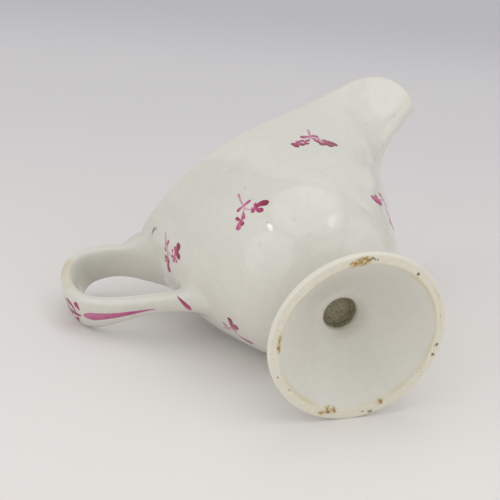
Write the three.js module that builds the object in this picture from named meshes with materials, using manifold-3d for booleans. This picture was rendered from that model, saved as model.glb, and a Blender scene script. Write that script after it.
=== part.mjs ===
// Cream jug: a small helmet-shaped porcelain jug on a spreading foot, with a raised strap handle.
// Millimetres, +Z up, spout along +X, handle along -X, both sides alike across the XZ plane.
// The origin lies on the table, under the middle of the jug's length.
import * as THREE from 'three';
import { mergeVertices } from 'three/addons/utils/BufferGeometryUtils.js';
import Module from 'manifold-3d';

// Joints between the three clay pieces
const SLIP = 0.3; // thin seam left where two pieces are luted together

// Foot
const FOOT_RADIUS = 25; // outer edge of the standing ring
const FOOT_HEIGHT = 16.8; // table to the top of the stem
const FOOT_EDGE = 1.5; // upright edge of the ring
const FOOT_EDGE_ROUND = 0.5; // softening of that edge
const FOOT_RING_WIDTH = 2.8; // flat unglazed face that stands on the table
const FOOT_THICKNESS = 2.3; // clay between the underside and the upper face
const STEM_RADIUS = 9; // narrowest part, just under the bowl
const STEM_LENGTH = 2.6; // straight part of the stem
const BORE_RADIUS = 4.85; // hole up the stem
const BORE_LIP = 0.8; // rounding of the hole's mouth
const BORE_MOUTH_HEIGHT = 12.6; // table to the mouth of the hole
const UPPER_FACE_PULL = 0.75; // handles of the foot's curves, as shares of the hollow's slope
const HOLLOW_MOUTH_PULL = 0.3;
const HOLLOW_RING_PULL = 0.2;

// Bowl and neck: heights are above the seat on the foot
const WALL = 2.6;
const SEAT_RADIUS = 9.5;
const BASE_RADIUS = 16.2;
const BASE_HEIGHT = 2.8;
const FLANK_RADIUS = 23.2;
const FLANK_HEIGHT = 10.8;
const BELLY_FRONT = 27;
const BELLY_BACK = 27.9;
const BELLY_SIDE = 26.6;
const BELLY_HEIGHT = 22.3;
const SHOULDER_FRONT = 31.3;
const SHOULDER_BACK = 31.8;
const SHOULDER_FRONT_WIDTH = 24;
const SHOULDER_SIDE = 27.2;
const SHOULDER_BACK_WIDTH = 28.3;
const SHOULDER_HEIGHT = 33.3;
const SHOULDER_FRONT_RISE = 3.8;
const NECK_FRONT = 38.1;
const NECK_BACK = 34.7;
const NECK_THROAT_WIDTH = 17; // the neck is pinched in below the spout
const NECK_SIDE = 26.7;
const NECK_BACK_WIDTH = 25.2;
const NECK_HEIGHT = 48;
const NECK_THROAT_RISE = 8.4;
const NECK_CHEEK_RISE = 11.8;
const NECK_BACK_RISE = 0.9;

// Rim: one wavy line that rises to both sides of the spout, dips at the sides and rises to the handle
const RIM_TIP_REACH = 56.6;
const RIM_BACK_REACH = 35.4;
const RIM_TIP_WIDTH = 21.9;
const RIM_SPOUT_WIDTH = 16.9;
const RIM_SIDE_WIDTH = 24.6;
const RIM_BACK_WIDTH = 22.1;
const RIM_TIP_HEIGHT = 72.9;
const RIM_PEAK_HEIGHT = 83.4;
const RIM_CHEEK_HEIGHT = 77.7;
const RIM_SIDE_HEIGHT = 60.2;
const RIM_DIP_HEIGHT = 56.9;
const RIM_BACK_HEIGHT = 66.9;

// Handle: a strap through points that are measured from its two joints on the back of the wall
const UPPER_JOINT_DROP = 8.2; // below the rim
const LOWER_JOINT_HEIGHT = 31; // above the seat
const EAR_OUT = 10.7; // where the strap turns over, out from the upper joint
const EAR_RISE = 8.4;
const CREST_OUT = 18;
const CREST_RISE = 10.3;
const BOW_OUT = 24.2; // farthest point of the loop
const BOW_DROP = 7.3;
const RETURN_OUT = 11.5; // where the strap comes back, out from the lower joint
const RETURN_RISE = 7.7;
const ROOT_OUT = 4.1; // the strap leaves the upper joint through this point
const ROOT_RISE = 2.8;
const STRAP_ROOT_WIDTH = 6; // half widths along the strap
const STRAP_EAR_WIDTH = 5.4;
const STRAP_BOW_WIDTH = 5.8;
const STRAP_RETURN_WIDTH = 2.8;
const STRAP_END_WIDTH = 3.2;
const STRAP_UPPER_THICKNESS = 1.9; // half thicknesses along the strap
const STRAP_BOW_THICKNESS = 2.3;
const STRAP_LOWER_THICKNESS = 2.1;
const UPPER_SPREAD = 9; // length over which the strap spreads out towards its upper joint
const UPPER_SPREAD_WIDTH = 4.2;
const UPPER_SPREAD_THICKNESS = 3;
const LOWER_SPREAD = 7;
const LOWER_SPREAD_WIDTH = 1.6;
const LOWER_SPREAD_THICKNESS = 1.6;
const STRAP_RUN_IN = 5.2; // its ends run on into the wall this far before they are trimmed
const STRAP_ROUNDNESS = 0.7; // 1 gives an oval section, less a flatter one
const JOINT_ROUNDNESS = 1.1;

// Fineness of the facets
const JUG_COLUMNS = 56;
const OUTER_ROWS = 20;
const INNER_ROWS = 14;
const LIP_STEPS = 4;
const FOOT_COLUMNS = 44;
const FOOT_CURVE_STEPS = 7;
const STRAP_ROWS = 42;
const STRAP_SIDES = 18;
const SLOPE_STEP = 1e-3; // small step over which slopes are measured
const HALVING_LIMIT = 1e-6;

// Heights that follow from the sizes above
const SEAT = FOOT_HEIGHT + SLIP;

// A cubic spline through points. Its ends are free, or level where the curve is mirrored there.
function spline(knots, values, ends) {
  const count = knots.length;
  const gap = knots.slice(1).map((knot, i) => knot - knots[i]);
  const rise = gap.map((width, i) => (values[i + 1] - values[i]) / width);
  const level = ends === 'level';
  const diagonal = [];
  const upper = [];
  const right = [];
  for (let i = 0; i < count; i += 1) {
    const before = i > 0 ? gap[i - 1] : 0;
    const after = i < count - 1 ? gap[i] : 0;
    const inner = i > 0 && i < count - 1;
    const solved = inner || level;
    let main = solved ? 2 * (before + after) : 1;
    let target = 0;
    if (inner) target = 6 * (rise[i] - rise[i - 1]);
    else if (level) target = 6 * (i === 0 ? rise[0] : -rise[count - 2]);
    const lower = i > 0 && solved ? before : 0;
    if (i > 0) {
      main -= lower * upper[i - 1];
      target -= lower * right[i - 1];
    }
    diagonal.push(main);
    upper.push(solved ? after / main : 0);
    right.push(target / main);
  }
  const bend = right.slice();
  for (let i = count - 2; i >= 0; i -= 1) bend[i] -= upper[i] * bend[i + 1];
  return (at) => {
    let i = 0;
    while (i < count - 2 && at > knots[i + 1]) i += 1;
    const a = (knots[i + 1] - at) / gap[i];
    const b = (at - knots[i]) / gap[i];
    const curve = ((a ** 3 - a) * bend[i] + (b ** 3 - b) * bend[i + 1]) * gap[i] ** 2 / 6;
    return a * values[i] + b * values[i + 1] + curve;
  };
}

// One level line round the jug. Angle 0 is the spout and 180 the handle, and both sides are alike.
function ring(front, back, widths, heights) {
  const width = spline(widths.map((pair) => pair[0]), widths.map((pair) => pair[1]), 'level');
  const height = spline(heights.map((pair) => pair[0]), heights.map((pair) => pair[1]), 'level');
  return (angle) => {
    const degrees = Math.abs(angle) * 180 / Math.PI;
    const reach = (front + back) / 2 * Math.cos(angle);
    const lean = (front - back) / 4 * (1 + Math.cos(2 * angle));
    return [reach + lean, Math.sin(angle) * width(degrees), SEAT + height(degrees)];
  };
}

function roundRing(radius, height) {
  return ring(radius, radius, [[0, radius], [180, radius]], [[0, height], [180, height]]);
}

const rings = [
  roundRing(SEAT_RADIUS, 0),
  roundRing(BASE_RADIUS, BASE_HEIGHT),
  roundRing(FLANK_RADIUS, FLANK_HEIGHT),
  ring(
    BELLY_FRONT,
    BELLY_BACK,
    [[0, BELLY_FRONT], [90, BELLY_SIDE], [180, BELLY_BACK]],
    [[0, BELLY_HEIGHT], [180, BELLY_HEIGHT]],
  ),
  ring(
    SHOULDER_FRONT,
    SHOULDER_BACK,
    [[0, SHOULDER_FRONT_WIDTH], [90, SHOULDER_SIDE], [180, SHOULDER_BACK_WIDTH]],
    [[0, SHOULDER_HEIGHT + SHOULDER_FRONT_RISE], [90, SHOULDER_HEIGHT], [180, SHOULDER_HEIGHT]],
  ),
  ring(
    NECK_FRONT,
    NECK_BACK,
    [[0, NECK_THROAT_WIDTH], [90, NECK_SIDE], [180, NECK_BACK_WIDTH]],
    [
      [0, NECK_HEIGHT + NECK_THROAT_RISE],
      [45, NECK_HEIGHT + NECK_CHEEK_RISE],
      [90, NECK_HEIGHT],
      [180, NECK_HEIGHT + NECK_BACK_RISE],
    ],
  ),
  ring(
    RIM_TIP_REACH,
    RIM_BACK_REACH,
    [[0, RIM_TIP_WIDTH], [40, RIM_SPOUT_WIDTH], [90, RIM_SIDE_WIDTH], [180, RIM_BACK_WIDTH]],
    [
      [0, RIM_TIP_HEIGHT],
      [25, RIM_PEAK_HEIGHT],
      [50, RIM_CHEEK_HEIGHT],
      [90, RIM_SIDE_HEIGHT],
      [135, RIM_DIP_HEIGHT],
      [180, RIM_BACK_HEIGHT],
    ],
  ),
];

// How far up the wall each ring lies, from 0 at the seat to 1 at the rim
const RING_PLACES = [0, 0.1, 0.24, 0.42, 0.6, 0.8, 1];

// The outside of the wall at one angle, as a function of the way up
function wallLine(angle) {
  const points = rings.map((level) => level(angle));
  const along = [0, 1, 2].map((axis) => spline(RING_PLACES, points.map((point) => point[axis]), 'free'));
  return (place) => new THREE.Vector3(along[0](place), along[1](place), along[2](place));
}

// The wall's outside at one angle with its outward direction and its climb
function wallFrames(angle) {
  const here = wallLine(angle);
  const before = wallLine(angle - SLOPE_STEP);
  const after = wallLine(angle + SLOPE_STEP);
  return (place) => {
    const climb = here(place + SLOPE_STEP).sub(here(place - SLOPE_STEP)).divideScalar(2 * SLOPE_STEP);
    const round = after(place).sub(before(place));
    const out = new THREE.Vector3().crossVectors(round, climb).normalize();
    return { point: here(place), out, speed: climb.length(), up: climb.normalize() };
  };
}

// A closed solid from stacked rings of points, each ring closed, with a point at either end
function stack(bottom, rows, top) {
  const columns = rows[0].length;
  const positions = [bottom, ...rows.flat(), top].flatMap((point) => [point.x, point.y, point.z]);
  const last = rows.length * columns + 1;
  const faces = [];
  for (let j = 0; j < columns; j += 1) {
    const next = (j + 1) % columns;
    faces.push(0, 1 + next, 1 + j);
    for (let i = 0; i < rows.length - 1; i += 1) {
      const low = 1 + i * columns;
      const high = low + columns;
      faces.push(low + j, low + next, high + next);
      faces.push(low + j, high + next, high + j);
    }
    const rim = 1 + (rows.length - 1) * columns;
    faces.push(rim + j, rim + next, last);
  }
  const geometry = new THREE.BufferGeometry();
  geometry.setAttribute('position', new THREE.Float32BufferAttribute(positions, 3));
  geometry.setIndex(faces);
  return geometry;
}

const angles = Array.from({ length: JUG_COLUMNS }, (_, j) => 2 * Math.PI * j / JUG_COLUMNS)
  .map((angle) => (angle > Math.PI ? angle - 2 * Math.PI : angle));
const columns = angles.map(wallFrames);

// The lip is rounded over the wall's thickness, so the wall proper stops half a thickness lower
const lipRadius = WALL / 2;
const lipPlaces = columns.map((frame) => 1 - lipRadius / frame(1).speed);

function jugBody() {
  const rows = [];
  for (let i = 0; i <= OUTER_ROWS; i += 1) {
    rows.push(columns.map((frame, j) => frame(lipPlaces[j] * i / OUTER_ROWS).point));
  }
  for (let k = 1; k < LIP_STEPS; k += 1) {
    const turn = Math.PI * k / LIP_STEPS;
    rows.push(columns.map((frame, j) => {
      const { point, out, up } = frame(lipPlaces[j]);
      const across = lipRadius * (Math.cos(turn) - 1);
      return point.addScaledVector(out, across).addScaledVector(up, lipRadius * Math.sin(turn));
    }));
  }
  for (let i = INNER_ROWS; i >= 0; i -= 1) {
    rows.push(columns.map((frame, j) => {
      const { point, out } = frame(lipPlaces[j] * i / INNER_ROWS);
      return point.addScaledVector(out, -WALL);
    }));
  }
  return stack(new THREE.Vector3(0, 0, SEAT), rows, new THREE.Vector3(0, 0, SEAT + WALL));
}

// The body as a filled shape, grown by the seam, which trims the handle's ends to the wall
function jugEnvelope() {
  const rows = [];
  for (let i = 0; i <= OUTER_ROWS; i += 1) {
    rows.push(columns.map((frame, j) => {
      const place = i < OUTER_ROWS ? lipPlaces[j] * i / OUTER_ROWS : 1;
      const { point, out } = frame(place);
      return point.addScaledVector(out, SLIP);
    }));
  }
  const middle = new THREE.Vector3(0, 0, SEAT + RIM_SIDE_HEIGHT);
  return stack(new THREE.Vector3(0, 0, SEAT - SLIP), rows, middle);
}

// Foot: a turned section that closes on itself, radius across and height up
function jugFoot() {
  const edge = FOOT_RADIUS - FOOT_EDGE_ROUND;
  const ringInside = FOOT_RADIUS - FOOT_RING_WIDTH;
  const mouth = BORE_RADIUS + BORE_LIP;
  const stemFoot = FOOT_HEIGHT - STEM_LENGTH;
  const brim = FOOT_EDGE + FOOT_EDGE_ROUND;
  const hollowSpan = ringInside - mouth;
  const section = new THREE.Path();
  section.moveTo(ringInside, 0);
  section.lineTo(edge, 0);
  section.quadraticCurveTo(FOOT_RADIUS, 0, FOOT_RADIUS, FOOT_EDGE_ROUND);
  section.lineTo(FOOT_RADIUS, FOOT_EDGE);
  section.quadraticCurveTo(FOOT_RADIUS, brim, edge, brim);
  section.bezierCurveTo(
    mouth + hollowSpan * UPPER_FACE_PULL,
    brim + FOOT_THICKNESS,
    STEM_RADIUS,
    BORE_MOUTH_HEIGHT - FOOT_THICKNESS / 2,
    STEM_RADIUS,
    stemFoot,
  );
  section.lineTo(STEM_RADIUS, FOOT_HEIGHT - FOOT_EDGE_ROUND);
  section.lineTo(SEAT_RADIUS, FOOT_HEIGHT);
  section.lineTo(BORE_RADIUS, FOOT_HEIGHT);
  section.lineTo(BORE_RADIUS, BORE_MOUTH_HEIGHT + BORE_LIP);
  section.quadraticCurveTo(BORE_RADIUS, BORE_MOUTH_HEIGHT, mouth, BORE_MOUTH_HEIGHT);
  section.bezierCurveTo(
    mouth + hollowSpan * HOLLOW_MOUTH_PULL,
    BORE_MOUTH_HEIGHT - FOOT_THICKNESS,
    ringInside - hollowSpan * HOLLOW_RING_PULL,
    FOOT_THICKNESS,
    ringInside,
    0,
  );
  const points = section.getPoints(FOOT_CURVE_STEPS);
  const turned = new THREE.LatheGeometry(points, FOOT_COLUMNS);
  turned.rotateX(Math.PI / 2);
  return turned;
}

// The point of the back wall at a height, found by halving
function backWall(height) {
  const line = wallLine(Math.PI);
  let low = 0;
  let high = 1;
  while (high - low > HALVING_LIMIT) {
    const middle = (low + high) / 2;
    if (line(middle).z < height) low = middle;
    else high = middle;
  }
  return line(low);
}

// The strap as rings of points along a spline, with its ends run on into the wall
function strap() {
  const upper = backWall(SEAT + RIM_BACK_HEIGHT - UPPER_JOINT_DROP);
  const lower = backWall(SEAT + LOWER_JOINT_HEIGHT);
  const upperSink = STRAP_RUN_IN * ROOT_RISE / ROOT_OUT;
  const lowerSink = STRAP_RUN_IN * RETURN_RISE / RETURN_OUT;
  const spine = [
    [upper.x + STRAP_RUN_IN, upper.z - upperSink],
    [upper.x - ROOT_OUT, upper.z + ROOT_RISE],
    [upper.x - EAR_OUT, upper.z + EAR_RISE],
    [upper.x - CREST_OUT, upper.z + CREST_RISE],
    [upper.x - BOW_OUT, upper.z - BOW_DROP],
    [lower.x - RETURN_OUT, lower.z + RETURN_RISE],
    [lower.x, lower.z],
    [lower.x + STRAP_RUN_IN, lower.z - lowerSink],
  ];
  const run = [0];
  for (let i = 1; i < spine.length; i += 1) {
    run.push(run[i - 1] + Math.hypot(spine[i][0] - spine[i - 1][0], spine[i][1] - spine[i - 1][1]));
  }
  const length = run[run.length - 1];
  const across = spline(run, spine.map((point) => point[0]), 'free');
  const height = spline(run, spine.map((point) => point[1]), 'free');
  const upperStart = Math.hypot(STRAP_RUN_IN, upperSink);
  const lowerEnd = run[run.length - 2];
  const width = spline(
    [upperStart, run[2], run[4], run[5], lowerEnd],
    [STRAP_ROOT_WIDTH, STRAP_EAR_WIDTH, STRAP_BOW_WIDTH, STRAP_RETURN_WIDTH, STRAP_END_WIDTH],
    'level',
  );
  const thickness = spline(
    [0, run[4], length],
    [STRAP_UPPER_THICKNESS, STRAP_BOW_THICKNESS, STRAP_LOWER_THICKNESS],
    'free',
  );
  const swell = (distance, reach) => Math.max(0, 1 - Math.max(0, distance) / reach) ** 2;
  const rows = [];
  for (let i = 0; i <= STRAP_ROWS; i += 1) {
    const at = length * i / STRAP_ROWS;
    const slope = new THREE.Vector2(
      across(at + SLOPE_STEP) - across(at - SLOPE_STEP),
      height(at + SLOPE_STEP) - height(at - SLOPE_STEP),
    ).normalize();
    const nearUpper = swell(at - upperStart, UPPER_SPREAD);
    const nearLower = swell(lowerEnd - at, LOWER_SPREAD);
    const held = Math.min(Math.max(at, upperStart), lowerEnd);
    const half = width(held) + UPPER_SPREAD_WIDTH * nearUpper + LOWER_SPREAD_WIDTH * nearLower;
    const thick = thickness(at)
      + UPPER_SPREAD_THICKNESS * nearUpper
      + LOWER_SPREAD_THICKNESS * nearLower;
    const roundness = STRAP_ROUNDNESS + (JOINT_ROUNDNESS - STRAP_ROUNDNESS) * (nearUpper + nearLower);
    const section = [];
    for (let k = 0; k < STRAP_SIDES; k += 1) {
      const turn = 2 * Math.PI * k / STRAP_SIDES;
      const wide = Math.sign(Math.cos(turn)) * Math.abs(Math.cos(turn)) ** roundness;
      const deep = Math.sign(Math.sin(turn)) * Math.abs(Math.sin(turn)) ** roundness;
      section.push(new THREE.Vector3(
        across(at) - slope.y * thick * deep,
        half * wide,
        height(at) + slope.x * thick * deep,
      ));
    }
    rows.push(section);
  }
  const start = new THREE.Vector3(across(0), 0, height(0));
  const end = new THREE.Vector3(across(length), 0, height(length));
  return stack(start, rows, end);
}

// Solids for cutting, and back again
const wasm = await Module();
wasm.setup();

function toSolid(geometry) {
  const bare = geometry.clone();
  bare.deleteAttribute('normal');
  bare.deleteAttribute('uv');
  const merged = mergeVertices(bare);
  const vertProperties = new Float32Array(merged.attributes.position.array);
  const triVerts = new Uint32Array(merged.index.array);
  return new wasm.Manifold(new wasm.Mesh({ numProp: 3, vertProperties, triVerts }));
}

function fromSolid(solid) {
  const mesh = solid.getMesh();
  const geometry = new THREE.BufferGeometry();
  geometry.setAttribute('position', new THREE.BufferAttribute(mesh.vertProperties, 3));
  geometry.setIndex(new THREE.BufferAttribute(mesh.triVerts, 1));
  return geometry;
}

// Pieces
const glaze = { color: 0xd6d3c6, roughness: 0.16, metalness: 0 };

function piece(name, geometry) {
  const mesh = new THREE.Mesh(geometry, new THREE.MeshStandardMaterial(glaze));
  mesh.name = name;
  mesh.geometry.computeVertexNormals();
  return mesh;
}

const jug = new THREE.Group();
jug.add(piece('body', jugBody()));
jug.add(piece('foot', jugFoot()));
jug.add(piece('handle', fromSolid(toSolid(strap()).subtract(toSolid(jugEnvelope())))));

// The middle of the jug's length comes over the origin
const middle = new THREE.Box3().setFromObject(jug).getCenter(new THREE.Vector3());
jug.position.x = -middle.x;

export default jug;
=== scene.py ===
# %% [markdown]
# # A porcelain cream jug, lying on its side
# The jug is three pieces of clay: a thin helmet-shaped body with a drawn-up lip, a spreading foot
# turned on the wheel, and a strap handle. They were luted together with slip, dipped in one
# glaze, and painted over the glaze with small puce sprigs. The solids of the three pieces come
# from the frame. Here each gets a finer surface by the same formulas, and then its finish.

# %% Load the frame
import bpy
import numpy as np
from mathutils import Matrix, Vector


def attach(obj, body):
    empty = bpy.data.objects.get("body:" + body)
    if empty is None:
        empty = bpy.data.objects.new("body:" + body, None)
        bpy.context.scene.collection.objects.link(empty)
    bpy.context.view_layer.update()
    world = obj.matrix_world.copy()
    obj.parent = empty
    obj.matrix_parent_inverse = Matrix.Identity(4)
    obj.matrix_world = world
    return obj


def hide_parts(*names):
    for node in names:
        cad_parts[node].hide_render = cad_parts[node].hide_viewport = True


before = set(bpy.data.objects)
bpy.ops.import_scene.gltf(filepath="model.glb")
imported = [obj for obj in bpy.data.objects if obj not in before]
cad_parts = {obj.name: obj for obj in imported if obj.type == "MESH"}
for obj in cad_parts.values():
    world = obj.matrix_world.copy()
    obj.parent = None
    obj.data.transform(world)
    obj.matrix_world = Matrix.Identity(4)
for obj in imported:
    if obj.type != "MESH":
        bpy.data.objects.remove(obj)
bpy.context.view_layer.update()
MM = 0.001
print("nodes:", sorted(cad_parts))

# %% [markdown]
# ## Sizes
# All lengths are millimetres, and the main ones are the same as in the part's source. The jug's
# own axis stands through the foot, a little in front of the middle of its length. Heights of the
# wall are measured above the seat, where the bowl sits on the stem.

# %% Sizes of the wall
FOOT_HEIGHT = 16.8
SLIP = 0.3
SEAT = FOOT_HEIGHT + SLIP
WALL = 2.6
AXIS_X = 3.16

RING_PLACES = [0, 0.1, 0.24, 0.42, 0.6, 0.8, 1]
# front reach, back reach, half widths by angle, heights by angle (0 is the spout, 180 the handle)
RINGS = [
    (9.5, 9.5, ([0, 180], [9.5, 9.5]), ([0, 180], [0, 0])),
    (16.2, 16.2, ([0, 180], [16.2, 16.2]), ([0, 180], [2.8, 2.8])),
    (23.2, 23.2, ([0, 180], [23.2, 23.2]), ([0, 180], [10.8, 10.8])),
    (27, 27.9, ([0, 90, 180], [27, 26.6, 27.9]), ([0, 180], [22.3, 22.3])),
    (31.3, 31.8, ([0, 90, 180], [24, 27.2, 28.3]), ([0, 90, 180], [37.1, 33.3, 33.3])),
    (38.1, 34.7, ([0, 90, 180], [17, 26.7, 25.2]), ([0, 45, 90, 180], [56.4, 59.8, 48, 48.9])),
    (56.6, 35.4, ([0, 40, 90, 180], [21.9, 16.9, 24.6, 22.1]),
     ([0, 25, 50, 90, 135, 180], [72.9, 83.4, 77.7, 60.2, 56.9, 66.9])),
]
print("rings round the wall:", len(RINGS))

# %% [markdown]
# ## Curves through points
# A potter's profile has no corners, so every line here is a cubic spline: through each pair of
# points goes a cubic, and neighbours share their slope and bend. The bends come from one small
# set of equations. It is solved once for whole arrays, so a surface costs a few matrix products.


# %% Splines
def spline(knots, values, at, level=False):
    """Cubic spline through values at knots, read at every number of `at`.

    Between two knots it is a*v0 + b*v1 + ((a^3 - a)*m0 + (b^3 - b)*m1) * gap^2 / 6, where a and b
    run 1 to 0 and 0 to 1, and m is the bend at the knots. The ends are free of bend, or level.
    """
    knots = np.asarray(knots, float)
    values = np.asarray(values, float)
    count = len(knots)
    flat = values.reshape(count, -1)
    gap = np.diff(knots)
    rise = np.diff(flat, axis=0) / gap[:, None]
    matrix = np.zeros((count, count))
    target = np.zeros_like(flat)
    inner = np.arange(1, count - 1)
    matrix[inner, inner - 1] = gap[:-1]
    matrix[inner, inner] = 2 * (gap[:-1] + gap[1:])
    matrix[inner, inner + 1] = gap[1:]
    target[inner] = 6 * np.diff(rise, axis=0)
    matrix[0, 0] = matrix[-1, -1] = 1
    if level:
        matrix[0, :2] = [2 * gap[0], gap[0]]
        matrix[-1, -2:] = [gap[-1], 2 * gap[-1]]
        target[0] = 6 * rise[0]
        target[-1] = -6 * rise[-1]
    bend = np.linalg.solve(matrix, target)
    at = np.asarray(at, float)
    low = np.clip(np.searchsorted(knots, at, side="right") - 1, 0, count - 2)
    width = gap[low][..., None]
    a = (knots[low + 1] - at)[..., None] / width
    b = 1 - a
    curve = ((a**3 - a) * bend[low] + (b**3 - b) * bend[low + 1]) * width**2 / 6
    return (a * flat[low] + b * flat[low + 1] + curve).reshape(at.shape + values.shape[1:])


def unit(vectors):
    """Vectors divided by their own length."""
    return vectors / np.linalg.norm(vectors, axis=-1, keepdims=True)


print("spline check, 4 expected:", float(spline([0, 1, 2], [0, 4, 8], 1.0)))


# %% [markdown]
# ## The wall as a function of angle and place
# A point of the wall has two parameters: the angle round the jug, and the place up the wall from
# 0 at the seat to 1 at the rim. Seven wavy rings are known exactly. At any angle a spline runs up
# through them. The slopes of that function give the outward direction.


# %% The wall
CREASE_ANGLES = [0, 32, 41, 46, 55.5, 61, 66.5, 77, 90, 180]
CREASE_PLACES = [0.33, 0.345, 0.375, 0.435, 0.505, 0.575, 0.63, 0.684, 0.73, 0.73]
CREASE_DEPTH = 0.75
# how wide the hollow is below its line and above it, as places on the wall
CREASE_BELOW = 0.075
CREASE_ABOVE = 0.13
# degrees between which the hollow comes in, and between which it goes out again
CREASE_FADES = [12, 40, 62, 96]
# the lip is blunt: mm further out, where and how wide in degrees from the tip
LIP_HUMPS = [(0.8, 17, 9), (-0.4, 0, 6)]
LIP_STARTS = 0.8
SLOPE_STEP = 1e-4


def crease(degrees, place):
    """Depth in mm of the thumbed hollow between the belly and the cheek of the lip.

    Along a curved line it is depth * exp(-(distance / width)^2), narrow below and wide above, and
    it fades out towards the front and the side of the jug.
    """
    line = spline(CREASE_ANGLES, CREASE_PLACES, degrees)
    off = (place - line) / np.where(place < line, CREASE_BELOW, CREASE_ABOVE)
    fade = np.interp(degrees, CREASE_FADES, [0, 1, 1, 0])
    return CREASE_DEPTH * np.exp(-off**2) * fade**2 * (3 - 2 * fade)


def wall(angle, place):
    """Outside of the wall in mm.

    Each ring is x = mean*cos(angle) + lean*(1 + cos(2*angle)), y = width*sin(angle), z = height,
    with width and height read by angle, and the place picks between the rings along a spline.
    The crease is taken off towards the axis, and two humps exp(-(angle / width)^2) blunt the lip.
    """
    angle, place = np.broadcast_arrays(np.asarray(angle, float), np.asarray(place, float))
    degrees = np.degrees(np.abs(angle))
    shares = spline(RING_PLACES, np.eye(len(RINGS)), place)
    total = np.zeros(angle.shape + (3,))
    for number, (front, back, widths, heights) in enumerate(RINGS):
        reach = (front + back) / 2 * np.cos(angle)
        lean = (front - back) / 4 * (1 + np.cos(2 * angle))
        width = spline(*widths, degrees, level=True)
        height = SEAT + spline(*heights, degrees, level=True)
        ring = np.stack([AXIS_X + reach + lean, np.sin(angle) * width, height], -1)
        total += shares[..., number, None] * ring
    hollow = crease(degrees, place)
    near_rim = np.clip((place - LIP_STARTS) / (1 - LIP_STARTS), 0, None) ** 2
    for further, middle, spread in LIP_HUMPS:
        total[..., 0] += near_rim * further * np.exp(-((degrees - middle) / spread) ** 2)
    total[..., 0] -= hollow * np.cos(angle)
    total[..., 1] -= hollow * np.sin(angle)
    return total


def wall_slopes(angle, place):
    """Slopes of the wall round and up, from the difference over a small step."""
    around = wall(angle + SLOPE_STEP, place) - wall(angle - SLOPE_STEP, place)
    upward = wall(angle, place + SLOPE_STEP) - wall(angle, place - SLOPE_STEP)
    return around / (2 * SLOPE_STEP), upward / (2 * SLOPE_STEP)


def wall_out(angle, place):
    """Outward direction: the round slope crossed with the upward slope."""
    around, upward = wall_slopes(angle, place)
    return unit(np.cross(around, upward))


print("rim at the spout and at the handle:", wall(np.array([0, np.pi]), 1.0).round(1).tolist())


# %% [markdown]
# ## From a grid of points to a mesh
# Every piece of the jug closes on itself, so one helper serves them all: stacked closed rows of
# points, with a single point at either end. The faces are worked out as arrays of indices.


# %% Mesh helper
def closed_faces(count, columns):
    """Corner numbers of the quads between `count` rows, and of the fans at the two ends."""
    j = np.arange(columns)
    k = (j + 1) % columns
    first = 1 + np.arange(count - 1)[:, None] * columns
    quads = np.stack([first + j, first + k, first + columns + k, first + columns + j], -1)
    last = 1 + (count - 1) * columns
    fan_low = np.stack([np.zeros_like(j), 1 + k, 1 + j], -1)
    fan_high = np.stack([last + j, last + k, np.full_like(j, count * columns + 1)], -1)
    return quads.reshape(-1, 4), np.concatenate([fan_low, fan_high])


def closed_piece(name, *parts):
    """Mesh of one or more closed parts, each (low point, rows, high point, fields), all in mm.

    Rows count upward and points run anticlockwise, seen from above, so faces point outward. A
    field is one number for every vertex, low to high, kept as an attribute of the mesh.
    """
    points, quads, fans, total = [], [], [], 0
    for low, rows, high, _ in parts:
        part_quads, part_fans = closed_faces(*rows.shape[:2])
        points.append(np.concatenate([[low], rows.reshape(-1, 3), [high]]))
        quads.append(part_quads + total)
        fans.append(part_fans + total)
        total += len(points[-1])
    points, quads, fans = (np.concatenate(arrays) for arrays in (points, quads, fans))
    corners = np.concatenate([quads.ravel(), fans.ravel()])
    sizes = np.concatenate([np.full(len(quads), 4), np.full(len(fans), 3)])
    mesh = bpy.data.meshes.new(name)
    mesh.vertices.add(len(points))
    mesh.vertices.foreach_set("co", (points * MM).ravel())
    mesh.loops.add(len(corners))
    mesh.loops.foreach_set("vertex_index", corners.astype(np.int32))
    mesh.polygons.add(len(sizes))
    mesh.polygons.foreach_set("loop_start", (np.cumsum(sizes) - sizes).astype(np.int32))
    mesh.update(calc_edges=True)
    mesh.shade_smooth()
    for field in parts[0][3]:
        values = np.concatenate([np.ravel(part[3][field]) for part in parts])
        layer = mesh.attributes.new(field, "FLOAT", "POINT")
        layer.data.foreach_set("value", values.astype(np.float32))
    piece = bpy.data.objects.new(name, mesh)
    bpy.context.scene.collection.objects.link(piece)
    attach(piece, "root")
    print(f"{name}: {len(points)} points, {2 * len(quads) + len(fans)} triangles")
    return piece


def with_ends(low, rows, high):
    """Values of a field for the low point, the rows and the high point, as one line."""
    return np.concatenate([[low], np.ravel(rows), [high]])


# %% [markdown]
# ## Body
# The body is pressed or thrown thin, its lip is pulled out with the fingers and the edge is
# wiped round with a wet leather. So the outside runs up to half a wall below the rim, a half
# round carries it over the edge, and the inside comes down one wall thickness further in.

# %% Build the body
JUG_COLUMNS = 280
OUTER_ROWS = 180
INNER_ROWS = 80
LIP_STEPS = 10
FLOOR_ROWS = 5
# value of the field of mm from the edge, where the edge is far away
FAR_OFF = 50.0

round_jug = np.linspace(-np.pi, np.pi, JUG_COLUMNS, endpoint=False)
lip_radius = WALL / 2
rim_climb = np.linalg.norm(wall_slopes(round_jug, np.ones(JUG_COLUMNS))[1], axis=-1)
lip_place = 1 - lip_radius / rim_climb


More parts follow.
